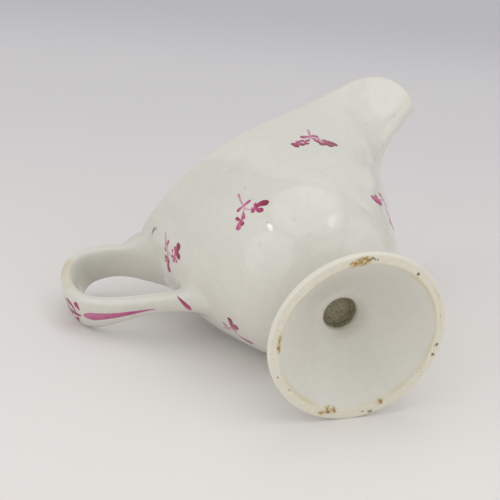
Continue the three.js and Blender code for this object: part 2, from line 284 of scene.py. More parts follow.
def body_rows():
    """Rows of the shell: up the outside, over the lip in a half round, and down the inside.

    Also the way in mm from each point up to the edge of the rim.
    """
    up = np.linspace(0, 1, OUTER_ROWS + 1)[:, None] * lip_place
    outside = wall(round_jug + 0 * up, up)
    turn = np.linspace(0, np.pi, LIP_STEPS + 1)[1:-1, None, None]
    edge = outside[-1]
    edge_out = wall_out(round_jug, lip_place)
    edge_up = unit(wall_slopes(round_jug, lip_place)[1])
    lip = edge + lip_radius * ((np.cos(turn) - 1) * edge_out + np.sin(turn) * edge_up)
    down = np.linspace(1, 0, INNER_ROWS + 1)[:, None] * lip_place
    inside = wall(round_jug + 0 * down, down) - WALL * wall_out(round_jug + 0 * down, down)
    place = np.concatenate([up, np.ones((LIP_STEPS - 1, JUG_COLUMNS)), down])
    return np.concatenate([outside, lip, inside]), (1 - place) * rim_climb


def shrinking(rows, point, steps):
    """Rows that shrink evenly from one row to a point, so that a pole is not one long fan."""
    share = np.linspace(0, 1, steps + 2)[1:-1, None, None]
    return rows + (point - rows) * share


# soft grey-brown flecks in the glaze: angle, place, half width in mm, strength
FLECKS = [(-119.1, 0.818, 0.8, 0.7), (-98.7, 0.736, 0.7, 0.6), (-101.7, 0.721, 0.7, 0.5),
          (-91.0, 0.25, 0.8, 0.9), (-87.0, 0.172, 0.9, 0.9), (-119.0, 0.251, 1.0, 0.8),
          (-22.0, 0.847, 0.7, 1.0), (-21.0, 0.824, 0.6, 0.6), (-49.3, 0.509, 0.8, 0.5),
          (-7.6, 0.921, 0.8, 0.9), (-44.7, 0.875, 0.6, 0.5), (58.0, 0.4, 0.9, 0.8),
          (112.0, 0.66, 0.7, 0.7), (150.0, 0.35, 0.9, 0.8), (20.0, 0.6, 0.8, 0.7)]


def flecks(points):
    """Sum over the flecks of strength * exp(-(distance / half width)^2)."""
    total = np.zeros(points.shape[:-1])
    for angle, place, size, strength in FLECKS:
        gap = np.linalg.norm(points - wall(np.radians(angle), place), axis=-1)
        total += strength * np.exp(-(gap / size) ** 2)
    return total


shell, shell_edge = body_rows()
seat_middle = np.array([AXIS_X, 0, SEAT])
bowl_floor = np.array([AXIS_X, 0, SEAT + WALL])
base_rows = shrinking(shell[0], seat_middle, FLOOR_ROWS)[::-1]
floor_rows = shrinking(shell[-1], bowl_floor, FLOOR_ROWS)
far_rows = np.full((FLOOR_ROWS, JUG_COLUMNS), FAR_OFF)
body_points = np.concatenate([base_rows, shell, floor_rows])
body = closed_piece("jug_body", (
    seat_middle, body_points, bowl_floor,
    {"edge": with_ends(FAR_OFF, np.concatenate([far_rows, shell_edge, far_rows]), FAR_OFF),
     "is_body": with_ends(1, np.ones(body_points.shape[:2]), 1),
     "fleck": with_ends(0, flecks(body_points), 0)},
))
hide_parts("body")

# %% [markdown]
# ## Foot
# The foot is turned on the wheel, so it is one profile carried round the axis: a narrow flat ring
# to stand on, a shallow cone under it, a hole up the stem, and outside a spreading trumpet whose
# top flares out to meet the bowl where the slip was smoothed with a finger.

# %% Profile of the foot
FOOT_RADIUS = 25
FOOT_EDGE = 1.5
EDGE_ROUND = 0.5
RING_WIDTH = 2.8
FOOT_THICKNESS = 2.3
STEM_RADIUS = 9
STEM_LENGTH = 2.6
BORE_RADIUS = 4.85
BORE_LIP = 0.8
BORE_MOUTH = 12.6
FOOT_COLUMNS = 360
# the hole stops short of the bowl, and its end is flat to a radius and then rounds down
HOLE_TOP = FOOT_HEIGHT - 0.6
HOLE_FLAT = 3.9
HOLE_SIDE = HOLE_TOP - 1
# the hole's lip ends a share of the hollow's width out and some mm below the hole's mouth
LIP_SHARE = 0.13
LIP_DROP = 1.05
LIP_PULL = 0.2
# handles of the hollow's curve and of the upper face's curve, as shares of the hollow's width
HOLLOW_MOUTH_PULL = 0.36
HOLLOW_RING_PULL = 0.2
UPPER_FACE_PULL = 0.75
HOLLOW_DROP = 2.7
RING_ROUND = 0.12
RING_FLAT = 0.3
# the stem flares out under the bowl, and its top is hidden in the slip
FLARE = 2.4
FLARE_RISE = 0.6
FLARE_PULL = 0.4
HIDDEN_TOP = SEAT + 1
POLE_RADIUS = 0.3


def bezier(controls, steps):
    """Curve of two, three or four control points, without its last point."""
    t = np.linspace(0, 1, steps, endpoint=False)[:, None]
    points = [np.array(point, float) for point in controls]
    while len(points) > 1:
        points = [a + (b - a) * t for a, b in zip(points, points[1:])]
    return points[0] + 0 * t


def foot_profile():
    """Radius and height from the bottom of the hole, down the hollow, over the ring, and up.

    It is a chain of curves, and each of them starts where the one before it ends.
    """
    edge = FOOT_RADIUS - EDGE_ROUND
    ring_inside = FOOT_RADIUS - RING_WIDTH
    mouth = BORE_RADIUS + BORE_LIP
    hollow = ring_inside - mouth
    brim = FOOT_EDGE + EDGE_ROUND
    # the further control points of each curve, and its steps
    chain = [
        ([(HOLE_FLAT, HOLE_TOP)], 16),
        ([(BORE_RADIUS, HOLE_TOP), (BORE_RADIUS, HOLE_SIDE)], 8),
        ([(BORE_RADIUS, BORE_MOUTH + BORE_LIP)], 12),
        ([(BORE_RADIUS, BORE_MOUTH - LIP_PULL),
          (mouth + hollow * LIP_SHARE, BORE_MOUTH - LIP_DROP)], 14),
        ([(mouth + hollow * HOLLOW_MOUTH_PULL, BORE_MOUTH - HOLLOW_DROP),
          (ring_inside - hollow * HOLLOW_RING_PULL, FOOT_THICKNESS),
          (ring_inside, RING_ROUND)], 60),
        ([(ring_inside + RING_ROUND, 0), (ring_inside + RING_FLAT, 0)], 4),
        ([(edge, 0)], 12),
        ([(FOOT_RADIUS, 0), (FOOT_RADIUS, EDGE_ROUND)], 6),
        ([(FOOT_RADIUS, FOOT_EDGE)], 4),
        ([(FOOT_RADIUS, brim), (edge, brim)], 6),
        ([(mouth + hollow * UPPER_FACE_PULL, brim + FOOT_THICKNESS),
          (STEM_RADIUS, BORE_MOUTH - FOOT_THICKNESS / 2),
          (STEM_RADIUS, FOOT_HEIGHT - STEM_LENGTH)], 40),
        ([(STEM_RADIUS, FOOT_HEIGHT - FLARE_PULL),
          (STEM_RADIUS + FLARE, SEAT + FLARE_RISE)], 12),
        ([(STEM_RADIUS, HIDDEN_TOP)], 3),
        ([(POLE_RADIUS, HIDDEN_TOP)], 6),
    ]
    curves = []
    start = (POLE_RADIUS, HOLE_TOP)
    for controls, steps in chain:
        curves.append(bezier([start, *controls], steps))
        start = controls[-1]
    return np.concatenate(curves)


profile = foot_profile()
print("points of the foot's profile:", len(profile))

# %% Stains and tool marks of the foot
# stains on the standing ring: angle, radius, half length round, half width across, strength
RUST = [(-75, 22.7, 1.7, 0.9, 1.4), (-71, 23.0, 2.2, 1.1, 1.6), (-67, 23.9, 1.6, 0.8, 1.3),
        (-150, 22.5, 1.5, 0.5, 1.3), (-157, 22.3, 1.9, 0.6, 1.5), (128, 22.3, 1.6, 1.0, 1.7),
        (134, 23.6, 0.9, 0.6, 1.3), (91, 22.5, 0.9, 0.8, 1.5), (-120, 21.8, 1.3, 0.25, 0.6),
        (-104, 22.0, 1.5, 0.25, 0.5), (-4, 23.9, 4.0, 0.3, 0.5), (14, 23.4, 3.5, 0.35, 0.5),
        (5, 21.9, 3.0, 0.25, 0.45), (150, 22.1, 3.0, 0.3, 0.4), (55, 22.7, 1.5, 0.4, 0.45)]
GRIME = [(-61, 23.4, 0.6, 0.45, 1.2), (-43, 24.3, 0.5, 0.3, 0.8), (-27, 23.1, 0.5, 0.5, 1.2),
         (-145, 23.6, 0.4, 0.35, 0.6), (180, 23.7, 0.6, 0.35, 0.6), (166, 22.8, 0.6, 0.4, 0.7),
         (99, 24.1, 0.6, 0.7, 1.1), (104, 23.6, 0.6, 0.5, 0.8), (35, 23.4, 0.65, 0.65, 1.4),
         (42, 23.6, 0.6, 0.6, 1.3), (56, 23.6, 0.4, 0.3, 0.7), (-71, 22.6, 0.5, 0.3, 0.7),
         (-64, 23.9, 0.4, 0.3, 0.6)]


def stains(spots, points):
    """Sum of strength * exp(-(along / length)^2 - (across / width)^2), on the underside only."""
    x, y = points[..., 0] - AXIS_X, points[..., 1]
    radius, angle = np.hypot(x, y), np.arctan2(y, x)
    total = np.zeros(radius.shape)
    for degrees, middle, length, width, strength in spots:
        turned = (angle - np.radians(degrees) + np.pi) % (2 * np.pi) - np.pi
        along = turned * middle
        total += strength * np.exp(-(along / length) ** 2 - ((radius - middle) / width) ** 2)
    return total * (points[..., 2] < 1)


# painted shade at the hole's mouth: its radius, width, side in degrees, and how far up it goes
HOLE_SHADE_RADIUS = 5.6
HOLE_SHADE_WIDTH = 2.1
HOLE_SHADE_SIDE = 62
HOLE_SHADE_TOP = BORE_MOUTH + 0.6
# painted light on one side of the hole's end: its side in degrees, and where its soft edge starts
# and ends
HOLE_LIGHT_SIDE = np.radians(-112)
HOLE_LIGHT_STARTS = 2.3
HOLE_LIGHT_EDGE = 0.9


def hole_shade_and_light(points):
    """Painted shade round the hole's lower edge, and painted light in the hole on the other side.

    The shade is exp(-((radius - its radius) / width)^2) on one side. The light is a soft step
    across the end of the hole.
    """
    x, y = points[..., 0] - AXIS_X, points[..., 1]
    radius, angle = np.hypot(x, y), np.arctan2(y, x)
    side = np.clip(0.5 + 0.5 * np.cos(angle - np.radians(HOLE_SHADE_SIDE)), 0, 1) ** 1.5
    hole_shade = np.exp(-((radius - HOLE_SHADE_RADIUS) / HOLE_SHADE_WIDTH) ** 2) * side * (points[..., 2] < HOLE_SHADE_TOP)
    way = x * np.cos(HOLE_LIGHT_SIDE) + y * np.sin(HOLE_LIGHT_SIDE)
    return hole_shade, np.clip((way - HOLE_LIGHT_STARTS) / HOLE_LIGHT_EDGE, 0, 1) * (points[..., 2] > BORE_MOUTH)


TOOL_RINGS = 0.16
DENTS = 0.12
# mm above the hole's mouth where the marks start, and over how many mm they come in
MARKS_FROM = 0.9
MARKS_FADE = 0.8


def hand_marks(radius, height, angle):
    """Shift in mm of the clay in the hole: rings left by the tool, and soft dents between them."""
    inside = np.clip((height - BORE_MOUTH - MARKS_FROM) / MARKS_FADE, 0, 1)
    inside = inside * (radius < BORE_RADIUS + 0.1)
    rings = TOOL_RINGS * np.sin(radius * 3.1 + height * 4.4 + 1.5 * np.sin(angle + 0.8))
    dents = DENTS * np.sin(3 * angle + radius) * np.sin(2.3 * radius + 5 * angle)
    return inside * (rings + dents)


print("stains on the ring:", len(RUST) + len(GRIME))

# %% Build the foot
# the marks shift the hole's side inward and its flat end down, and near the flat's edge they do
# both for some mm. They fade out over some mm towards the axis.
MARKS_OVERLAP = 0.3
AXIS_FADE = 1.5

round_foot = np.linspace(0, 2 * np.pi, FOOT_COLUMNS, endpoint=False)
radius = profile[:, 0, None] + 0 * round_foot
height = profile[:, 1, None] + 0 * round_foot
shift = hand_marks(radius, height, round_foot)
fade_in = np.clip(radius / AXIS_FADE, 0, 1)
radius = radius - shift * fade_in * (radius > HOLE_FLAT)
height = height - np.abs(shift) * fade_in * (radius < HOLE_FLAT + MARKS_OVERLAP)
foot_rows = np.stack([AXIS_X + radius * np.cos(round_foot), radius * np.sin(round_foot),
                      height], -1)
# this profile starts at the inside of the hole, so its rows run clockwise to face outward
foot_rows = foot_rows[:, ::-1]
# painted shade beside the hole's mouth, and painted light on one side of the hole's end
hole_shade, hole_light = hole_shade_and_light(foot_rows)
foot = closed_piece("jug_foot", (
    np.array([AXIS_X, 0, HOLE_TOP]), foot_rows, np.array([AXIS_X, 0, HIDDEN_TOP]),
    {"rust": with_ends(0, stains(RUST, foot_rows), 0),
     "grime": with_ends(0, stains(GRIME, foot_rows), 0),
     "hole_shade": with_ends(0, hole_shade, 0), "run": with_ends(0, hole_light, 0)},
))
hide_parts("foot")

# %% [markdown]
# ## Handle
# The strap was pulled from a lump of clay, bent to a raised ear and pressed on the back of the
# body at both ends, and the joints were smoothed with a finger. Its section is a flattened oval
# carried along a bent line. Each line along the strap is followed until it meets the wall. There
# a small curve turns it into the wall, as the smoothed slip does.

# %% The strap as a function of the way along it and the way round it
BACK_OF_RIM = SEAT + RINGS[-1][3][1][-1]
UPPER_JOINT = BACK_OF_RIM - 8.2
LOWER_JOINT = SEAT + 31
# points of the middle line: mm out and up from the upper joint, and one from the lower joint
EAR = [(4.1, 2.8), (10.7, 8.4), (18, 10.3), (24.2, -7.3)]
TAIL = (11.5, 7.7)
# how far the strap's middle line runs on into the wall
RUN_IN = 5.2
HALF_WIDTHS = [6, 5.4, 5.8, 2.8, 3.2]
HALF_THICKNESS = [1.9, 2.3, 2.1]
# at each joint: over how many mm the strap swells, and by how much in half width and thickness
UPPER_SWELL = (9, 2.4, 1.2)
LOWER_SWELL = (7, 1.0, 1.0)
ROUNDNESS = 0.7
JOINT_ROUNDNESS = 1.1
# it is pressed on by hand, a little to the far side: mm, and over how many mm this fades
UPPER_LEAN = 0.9
LEAN_LENGTH = 14

back_line = wall(np.pi, np.linspace(0, 1, 2001))
upper_x = np.interp(UPPER_JOINT, back_line[:, 2], back_line[:, 0])
lower_x = np.interp(LOWER_JOINT, back_line[:, 2], back_line[:, 0])
spine = np.array([
    (upper_x + RUN_IN, UPPER_JOINT - RUN_IN * EAR[0][1] / EAR[0][0]),
    *((upper_x - out, UPPER_JOINT + rise) for out, rise in EAR),
    (lower_x - TAIL[0], LOWER_JOINT + TAIL[1]),
    (lower_x, LOWER_JOINT),
    (lower_x + RUN_IN, LOWER_JOINT - RUN_IN * TAIL[1] / TAIL[0]),
])
run = np.concatenate([[0], np.cumsum(np.hypot(*np.diff(spine, axis=0).T))])
upper_start = float(np.hypot(RUN_IN, RUN_IN * EAR[0][1] / EAR[0][0]))
lower_end = float(run[-2])


def fading(distance, length):
    """1 at the joint, falling to 0 over a length as (1 - distance / length)^2."""
    return np.clip(1 - np.clip(distance, 0, None) / length, 0, None) ** 2


def strap(at, turn):
    """Point of the strap `at` mm along its middle line and `turn` round its section.

    The section is an oval with flattened sides: across = half width * cos(turn) to a power, and
    deep = half thickness * sin(turn) to the same power. Both swell towards the two joints.
    """
    at, turn = np.broadcast_arrays(np.asarray(at, float), np.asarray(turn, float))
    middle = spline(run, spine, at)
    along = unit(spline(run, spine, at + SLOPE_STEP) - spline(run, spine, at - SLOPE_STEP))
    near_upper = fading(at - upper_start, UPPER_SWELL[0])
    near_lower = fading(lower_end - at, LOWER_SWELL[0])
    held = np.clip(at, upper_start, lower_end)
    half = spline([upper_start, run[2], run[4], run[5], lower_end], HALF_WIDTHS, held, level=True)
    half = half + UPPER_SWELL[1] * near_upper + LOWER_SWELL[1] * near_lower
    thick = spline([0, run[4], run[-1]], HALF_THICKNESS, at)
    thick = thick + UPPER_SWELL[2] * near_upper + LOWER_SWELL[2] * near_lower
    lean = UPPER_LEAN * fading(at - upper_start, LEAN_LENGTH)
    power = ROUNDNESS + (JOINT_ROUNDNESS - ROUNDNESS) * (near_upper + near_lower)
    wide = np.sign(np.cos(turn)) * np.abs(np.cos(turn)) ** power
    deep = np.sign(np.sin(turn)) * np.abs(np.sin(turn)) ** power
    return np.stack([middle[..., 0] - along[..., 1] * thick * deep, half * wide + lean,
                     middle[..., 1] + along[..., 0] * thick * deep], -1)


print(f"strap length {run[-1]:.1f} mm, joints at x {upper_x:.1f} and {lower_x:.1f} mm")

# %% The nearest point of the wall
# the most that one step may change an angle and a place
LONGEST_TURN = 0.3
LONGEST_CLIMB = 0.1


def onto_wall(points, angle, place, steps=10):
    """Angle, place and height above the wall of the wall's point nearest to each point.

    Each step solves the two slopes of the wall against what is still missing (least squares).
    """
    for _ in range(steps):
        around, upward = wall_slopes(angle, place)
        missing = points - wall(angle, place)
        aa, bb, ab = (np.sum(p * q, -1) for p, q in
                      ((around, around), (upward, upward), (around, upward)))
        ma, mb = np.sum(around * missing, -1), np.sum(upward * missing, -1)
        area = aa * bb - ab**2
        angle = angle + np.clip((bb * ma - ab * mb) / area, -LONGEST_TURN, LONGEST_TURN)
        place = place + np.clip((aa * mb - ab * ma) / area, -LONGEST_CLIMB, LONGEST_CLIMB)
    above = np.sum((points - wall(angle, place)) * wall_out(angle, place), -1)
    return angle, place, above


known = wall(2.0, 0.5) + 3 * wall_out(2.0, 0.5)
print("wall check, 2, 0.5 and 3 expected:",
      [round(float(value), 3) for value in onto_wall(known, np.array(1.9), np.array(0.45))])

# %% Where each line along the strap meets the wall
STRAP_SIDES = 72
STRAP_ROWS = 150
# how far the smoothed slip reaches along the strap and out on the wall, in mm
UPPER_FILLET = (7.0, 5.2)
LOWER_FILLET = (4.5, 3.6)
FILLET_STEPS = 24
# the slip under the rim: how high on the wall it ends, its further reach in mm, and how much
# longer and flatter its bend is
RIM_SIDE = 0.99
RIM_REACH = 1.0
RIM_LONGER = 0.2
RIM_FLATTER = 0.5
# its lift in mm, which is highest at one turn round the strap and spreads on both sides
RIM_LIFT = 7.0
LIFT_TURN = 225
LIFT_SPREAD = 55
# no handle of a bend is shorter than this in mm or longer than this many fillets
SHORTEST = 0.5
LONGEST = 1.3
SMOOTHINGS = 20
# the slip's edge lies just under the glaze, and its hidden end closes inside the clay
FEATHER = 0.02
DEEPEST = 0.96
SUNK = 0.6
# mm from the strap's ends between which the wall is looked for, roughly where on the wall that
# is, and how much further round the wall's own angle is than the direction from the axis
SEARCH_FROM = 0.5
UPPER_SEARCH = 26
LOWER_SEARCH = 24
SEARCH_STEPS = 160
UPPER_PLACE = 0.9
LOWER_PLACE = 0.6
ANGLE_AHEAD = 1.2

turns = np.linspace(0, 2 * np.pi, STRAP_SIDES, endpoint=False)


def meeting(start, stop, place):
    """How far along the strap each of its lines crosses the wall, between start and stop."""
    at = np.linspace(start, stop, SEARCH_STEPS)[:, None] + 0 * turns
    points = strap(at, turns)
    angle = np.arctan2(points[..., 1] * ANGLE_AHEAD, points[..., 0] - AXIS_X)
    angle = np.where(angle < 0, angle + 2 * np.pi, angle)
    angle, place, above = onto_wall(points, angle, np.full(angle.shape, place))
    outside = above > 0
    first = np.argmax(outside, axis=0)
    column = np.arange(STRAP_SIDES)
    share = above[first - 1, column] / (above[first - 1, column] - above[first, column])
    return at[first - 1, column] + share * (at[first, column] - at[first - 1, column])


upper_meets = meeting(SEARCH_FROM, UPPER_SEARCH, UPPER_PLACE)
lower_meets = meeting(run[-1] - SEARCH_FROM, run[-1] - LOWER_SEARCH, LOWER_PLACE)
print(f"upper joint {upper_meets.min():.1f} to {upper_meets.max():.1f} mm along,",
      f"lower {lower_meets.min():.1f} to {lower_meets.max():.1f}")


# %% Bend each line into the wall
def evened(values):
    """Values of the lines round the strap, averaged with their neighbours so no fold is left."""
    for _ in range(SMOOTHINGS):
        values = (np.roll(values, 1, 0) + 2 * values + np.roll(values, -1, 0)) / 4
    return values


def joint_rows(meets, step, place, fillet, raised):
    """Rows that bend from the strap into the wall, then close inside the clay.

    Each line is a cubic curve. It starts on the strap a fillet before the wall and ends on the
    wall a fillet further out. Both its handles point two thirds of the way to where the line of
    the strap crosses the plane that touches the wall at that end, so the bend runs into strap and
    wall without an edge. Where `raised` is 1, the slip fills the corner up to the rim: the curve
    is longer and flatter, and that crossing is lifted.
    """
    corner = strap(meets, turns)
    angle = np.arctan2(corner[:, 1], corner[:, 0] - AXIS_X) % (2 * np.pi)
    angle, place, _ = onto_wall(corner, angle, np.full(angle.shape, place), 14)
    out = wall_out(angle, place)
    spread = corner - corner.mean(axis=0)
    spread = unit(spread - np.sum(spread * out, -1)[:, None] * out)
    reach = (fillet[1] + RIM_REACH * raised)[:, None]
    angle, place, _ = onto_wall(corner + reach * spread, angle, place, 14)
    angle, place = evened(angle), evened(np.minimum(place, RIM_SIDE))
    out = wall_out(angle, place)
    far = wall(angle, place) - FEATHER * out
    starts = meets + step * fillet[0] * (1 + RIM_LONGER * raised)
    on_strap = strap(starts, turns)
    inward = unit(strap(starts - step * SLOPE_STEP, turns) - on_strap)
    length = np.sum((far - on_strap) * out, -1) / np.sum(inward * out, -1)
    length = np.clip(length, SHORTEST, fillet[0] * (LONGEST + RIM_LONGER * raised))
    middle = on_strap + length[:, None] * inward
    middle = middle + RIM_FLATTER * raised[:, None] * ((on_strap + far) / 2 - middle)
    lifted = np.exp(-((np.degrees(turns) - LIFT_TURN) / LIFT_SPREAD) ** 2)
    middle[:, 2] += RIM_LIFT * raised * lifted * np.clip(-1.5 * np.sin(turns), 0, 1)
    middle = evened(middle)
    leaves = on_strap + 2 / 3 * (middle - on_strap)
    lands = middle - far
    lands = far + 2 / 3 * (lands - np.sum(lands * out, -1)[:, None] * out)
    t = np.linspace(0, 1, FILLET_STEPS + 1)[:, None, None]
    bend = ((1 - t)**3 * on_strap + 3 * t * (1 - t)**2 * leaves
            + 3 * t**2 * (1 - t) * lands + t**3 * far)
    # the last of the shrinking rows is the pole
    shrink = np.array([1, 0.75, 0.5, 0.25, 0])[:, None]
    place = np.minimum(place, DEEPEST)
    angle = angle.mean() + (angle - angle.mean()) * shrink
    place = place.mean() + (place - place.mean()) * shrink
    inside = wall(angle, place) - SUNK * wall_out(angle, place)
    return np.concatenate([bend, inside[:-1]]), inside[-1, 0]


# the strap's upper side, where the slip reaches the rim: a smooth step of -sin(turn)
upper_side = np.clip(0.6 - 1.2 * np.sin(turns), 0, 1)
upper_side = upper_side**2 * (3 - 2 * upper_side)
upper_rows, upper_pole = joint_rows(upper_meets, 1, UPPER_PLACE, UPPER_FILLET, upper_side)
lower_rows, lower_pole = joint_rows(lower_meets, -1, LOWER_PLACE, LOWER_FILLET, 0 * turns)
print("rows of each joint:", len(upper_rows))

# %% Build the handle
# tea-coloured stain on the outer edge of the bow: mm along, turn, half length, half width, strength
BOW_STAINS = [(32.5, 185, 2.2, 1.3, 1.5), (37.0, 180, 3.5, 1.4, 1.0), (42.5, 178, 3.0, 1.3, 0.7),
              (34.0, 5, 2.5, 1.0, 0.5)]

share = np.linspace(0, 1, STRAP_ROWS)[1:-1, None]
start = upper_meets + UPPER_FILLET[0] * (1 + RIM_LONGER * upper_side)
stop = lower_meets - LOWER_FILLET[0]
middle_rows = strap(start + (stop - start) * share, turns)
handle_rows = np.concatenate([upper_rows[::-1], middle_rows, lower_rows])
stain = np.zeros(handle_rows.shape[:2])
for at, turned, length, width, strength in BOW_STAINS:
    gap = handle_rows - strap(at, np.radians(turned))
    near = np.abs(gap[..., 1]) / width
    far = np.hypot(gap[..., 0], gap[..., 2]) / length
    stain += strength * np.exp(-near**2 - far**2)
handle = closed_piece("jug_handle", (upper_pole, handle_rows, lower_pole,
                                     {"stain": with_ends(0, stain, 0)}))
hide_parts("handle")

# %% [markdown]
# ## Painted sprigs
# Small purple-pink sprigs are painted over the glaze and fired again, so each brush stroke lies
# on the surface as a thin domed skin of enamel. It is pale where the brush lands and dark where
# it lifts. A picture laid on the wall would stretch. So each stroke is a narrow shell that
# follows the wall, with a value that says how thick the colour lies.

# %% One brush stroke
STROKE_STEPS = 20
STROKE_SIDES = 14
ENAMEL_HEIGHT = 0.05
ENAMEL_BITE = 0.08
# half width in mm under which a stroke also gets thinner, and how thin at the least
FULL_HALF = 0.2
THINNEST = 0.3
stroke_way = np.linspace(0, 1, STROKE_STEPS)
stroke_round = np.linspace(0, 2 * np.pi, STROKE_SIDES, endpoint=False)

# how wide the stroke is along its way, as a share of its full width
WIDTHS = {
    "leaf": lambda s: (0.25 + 0.75 * s**0.8) * np.sqrt(np.clip(1 - s**5, 0, 1)) * (s > 0),
    "stem": lambda s: 0.8 * np.sqrt(np.clip(1 - (2 * s - 1)**8, 0, 1)) * (1 - 0.25 * s),
    "blade": lambda s: np.clip(s * 5, 0, 1)**0.5 * np.clip(1 - s, 0, 1)**0.75 * 1.15,
}


def stroke(surface, kind, width, tone, marks):
    """One brush stroke on a surface, through marks that are pairs of its two coordinates.

    The middle line is a curve through the marks. Its section is width * cos(q) across and
    height * sqrt(sin(q)) out of the surface, closed by a flat side a little under it.
    """
    marks = np.array(marks, float)
    if len(marks) == 2:
        marks = np.array([marks[0], marks.mean(axis=0), marks[1]])
    knots = np.linspace(0, 1, len(marks))
    line = spline(knots, marks, stroke_way)
    points, out = surface(line[:, 0], line[:, 1])
    along = unit(np.gradient(points, axis=0))
    across = np.cross(out, along)
    half = width / 2 * WIDTHS[kind](stroke_way * 0.98 + 0.01)
    lift = np.sin(stroke_round)
    depth = np.where(lift > 0, ENAMEL_HEIGHT * np.sqrt(np.abs(lift)), ENAMEL_BITE * lift)
    depth = depth * np.clip(half / FULL_HALF, THINNEST, 1)[:, None]
    rows = (points[:, None] + (half[:, None] * np.cos(stroke_round))[..., None] * across[:, None]
            + depth[..., None] * out[:, None])
    laid = tone * (0.75 + 0.25 * stroke_way)[:, None] + 0.12 * np.abs(np.cos(stroke_round)) ** 4
    return (points[0], rows[:, ::-1], points[-1], {"tone": with_ends(tone, laid, tone)})


def wall_sheet(angle, place, turn=0.0, flip=1):
    """Flat painting sheet on the wall: its two coordinates are mm round and mm up from a spot."""
    spot = np.radians(angle)
    around, upward = (np.linalg.norm(slope) for slope in wall_slopes(spot, place))
    cos, sin = np.cos(np.radians(turn)), np.sin(np.radians(turn))

    def surface(u, v):
        u = flip * u
        u, v = cos * u - sin * v, sin * u + cos * v
        at = (spot + u / around, place + v / upward)
        return wall(*at), wall_out(*at)
    return surface


leaf_end = wall_sheet(0, 0.5)(0.0, 5.0)[0] - wall(0, 0.5)
print("5 mm up the sheet is", float(np.linalg.norm(leaf_end).round(2)), "mm on the wall")

# %% Strokes of the sprigs
# each stroke: kind, width, tone from pale 0 to dark 1, then its marks in mm from the spot
BRANCHED = [
    ("stem", 0.81, 0.35, [(1.2, 5.2), (0.5, 2.6), (0, 0)]),
    ("leaf", 1.16, 0.45, [(0.9, 4.3), (1.4, 5.7)]),
    ("leaf", 1.45, 0.65, [(0, 0.3), (1.2, 0.5), (2.6, 0.5)]),
    ("leaf", 1.45, 0.75, [(-0.1, 0.4), (-1.1, 0.5), (-2.3, 0.4)]),
    ("stem", 0.61, 0.25, [(0, 0), (0.3, -1.8), (2.0, -2.9)]),
    ("leaf", 1.74, 0.75, [(1.5, -2.1), (0.9, -3.9)]),
    ("leaf", 1.3, 0.8, [(1.8, -3.0), (3.1, -1.5)]),
    ("leaf", 2.75, 1.0, [(2.2, -2.9), (4.1, -2.9), (6.0, -4.2)]),
    ("leaf", 2.32, 0.9, [(2.2, -2.9), (2.6, -4.5), (3.7, -4.7)]),
    ("stem", 0.61, 0.3, [(0, 0), (-1.1, -1.3), (-3.3, -2.9)]),
    ("leaf", 1.89, 0.7, [(-1.2, -1.4), (-2.6, -3.3)]),
    ("leaf", 1.45, 0.85, [(-3.4, -3.0), (-3.7, -0.9)]),
    ("leaf", 1.74, 0.85, [(-3.3, -2.7), (-3.7, -4.6)]),
    ("leaf", 2.32, 0.65, [(-3.6, -2.9), (-5.8, -4.4)]),
]
SPREADING = [
    ("stem", 1.04, 0.46, [(0.3, 6.1), (0.2, 3.5), (-0.1, 0.4)]),
    ("leaf", 2.2, 0.8, [(-0.1, 1.0), (-1.6, 1.5), (-3.3, 1.5)]),
    ("leaf", 2.4, 0.75, [(-0.1, 1.2), (1.4, 1.3), (2.9, 0.6)]),
    ("leaf", 1.39, 1.0, [(0.2, -0.1), (1.6, -0.6)]),
    ("stem", 0.69, 0.34, [(-0.1, 0.4), (-2.4, -1.0), (-5.1, -1.6)]),
    ("leaf", 1.8, 0.8, [(-3.0, -2.0), (-1.8, -1.1), (-0.8, -0.8)]),
    ("leaf", 2.2, 0.92, [(-2.7, -1.9), (-1.7, -3.4)]),
    ("leaf", 2.2, 0.8, [(-2.8, -1.7), (-3.7, 0.1)]),
    ("leaf", 2.6, 1.0, [(-4.4, -1.8), (-3.3, -3.6)]),
    ("leaf", 2.0, 0.8, [(-4.3, -1.8), (-4.9, 0.1)]),
    ("leaf", 3.4, 0.92, [(-4.4, -1.7), (-5.7, -1.8), (-7.0, -2.1)]),
    ("leaf", 2.0, 1.0, [(-4.9, -2.1), (-6.3, -3.6)]),
    ("stem", 0.86, 0.4, [(-0.1, 0.4), (1.1, -1.3), (2.8, -3.0)]),
    ("leaf", 2.8, 0.92, [(0.7, -1.2), (2.5, -2.7)]),
    ("leaf", 1.6, 0.63, [(2.0, -0.3), (3.0, -1.1)]),
    ("leaf", 2.0, 0.92, [(3.2, -1.8), (5.4, -1.4)]),
    ("leaf", 4.0, 1.0, [(2.5, -2.6), (3.8, -4.8)]),
    ("leaf", 3.6, 1.0, [(3.8, -2.5), (6.4, -2.4), (8.7, -4.1)]),
    ("leaf", 3.2, 1.0, [(4.5, -3.0), (6.5, -5.4)]),
]
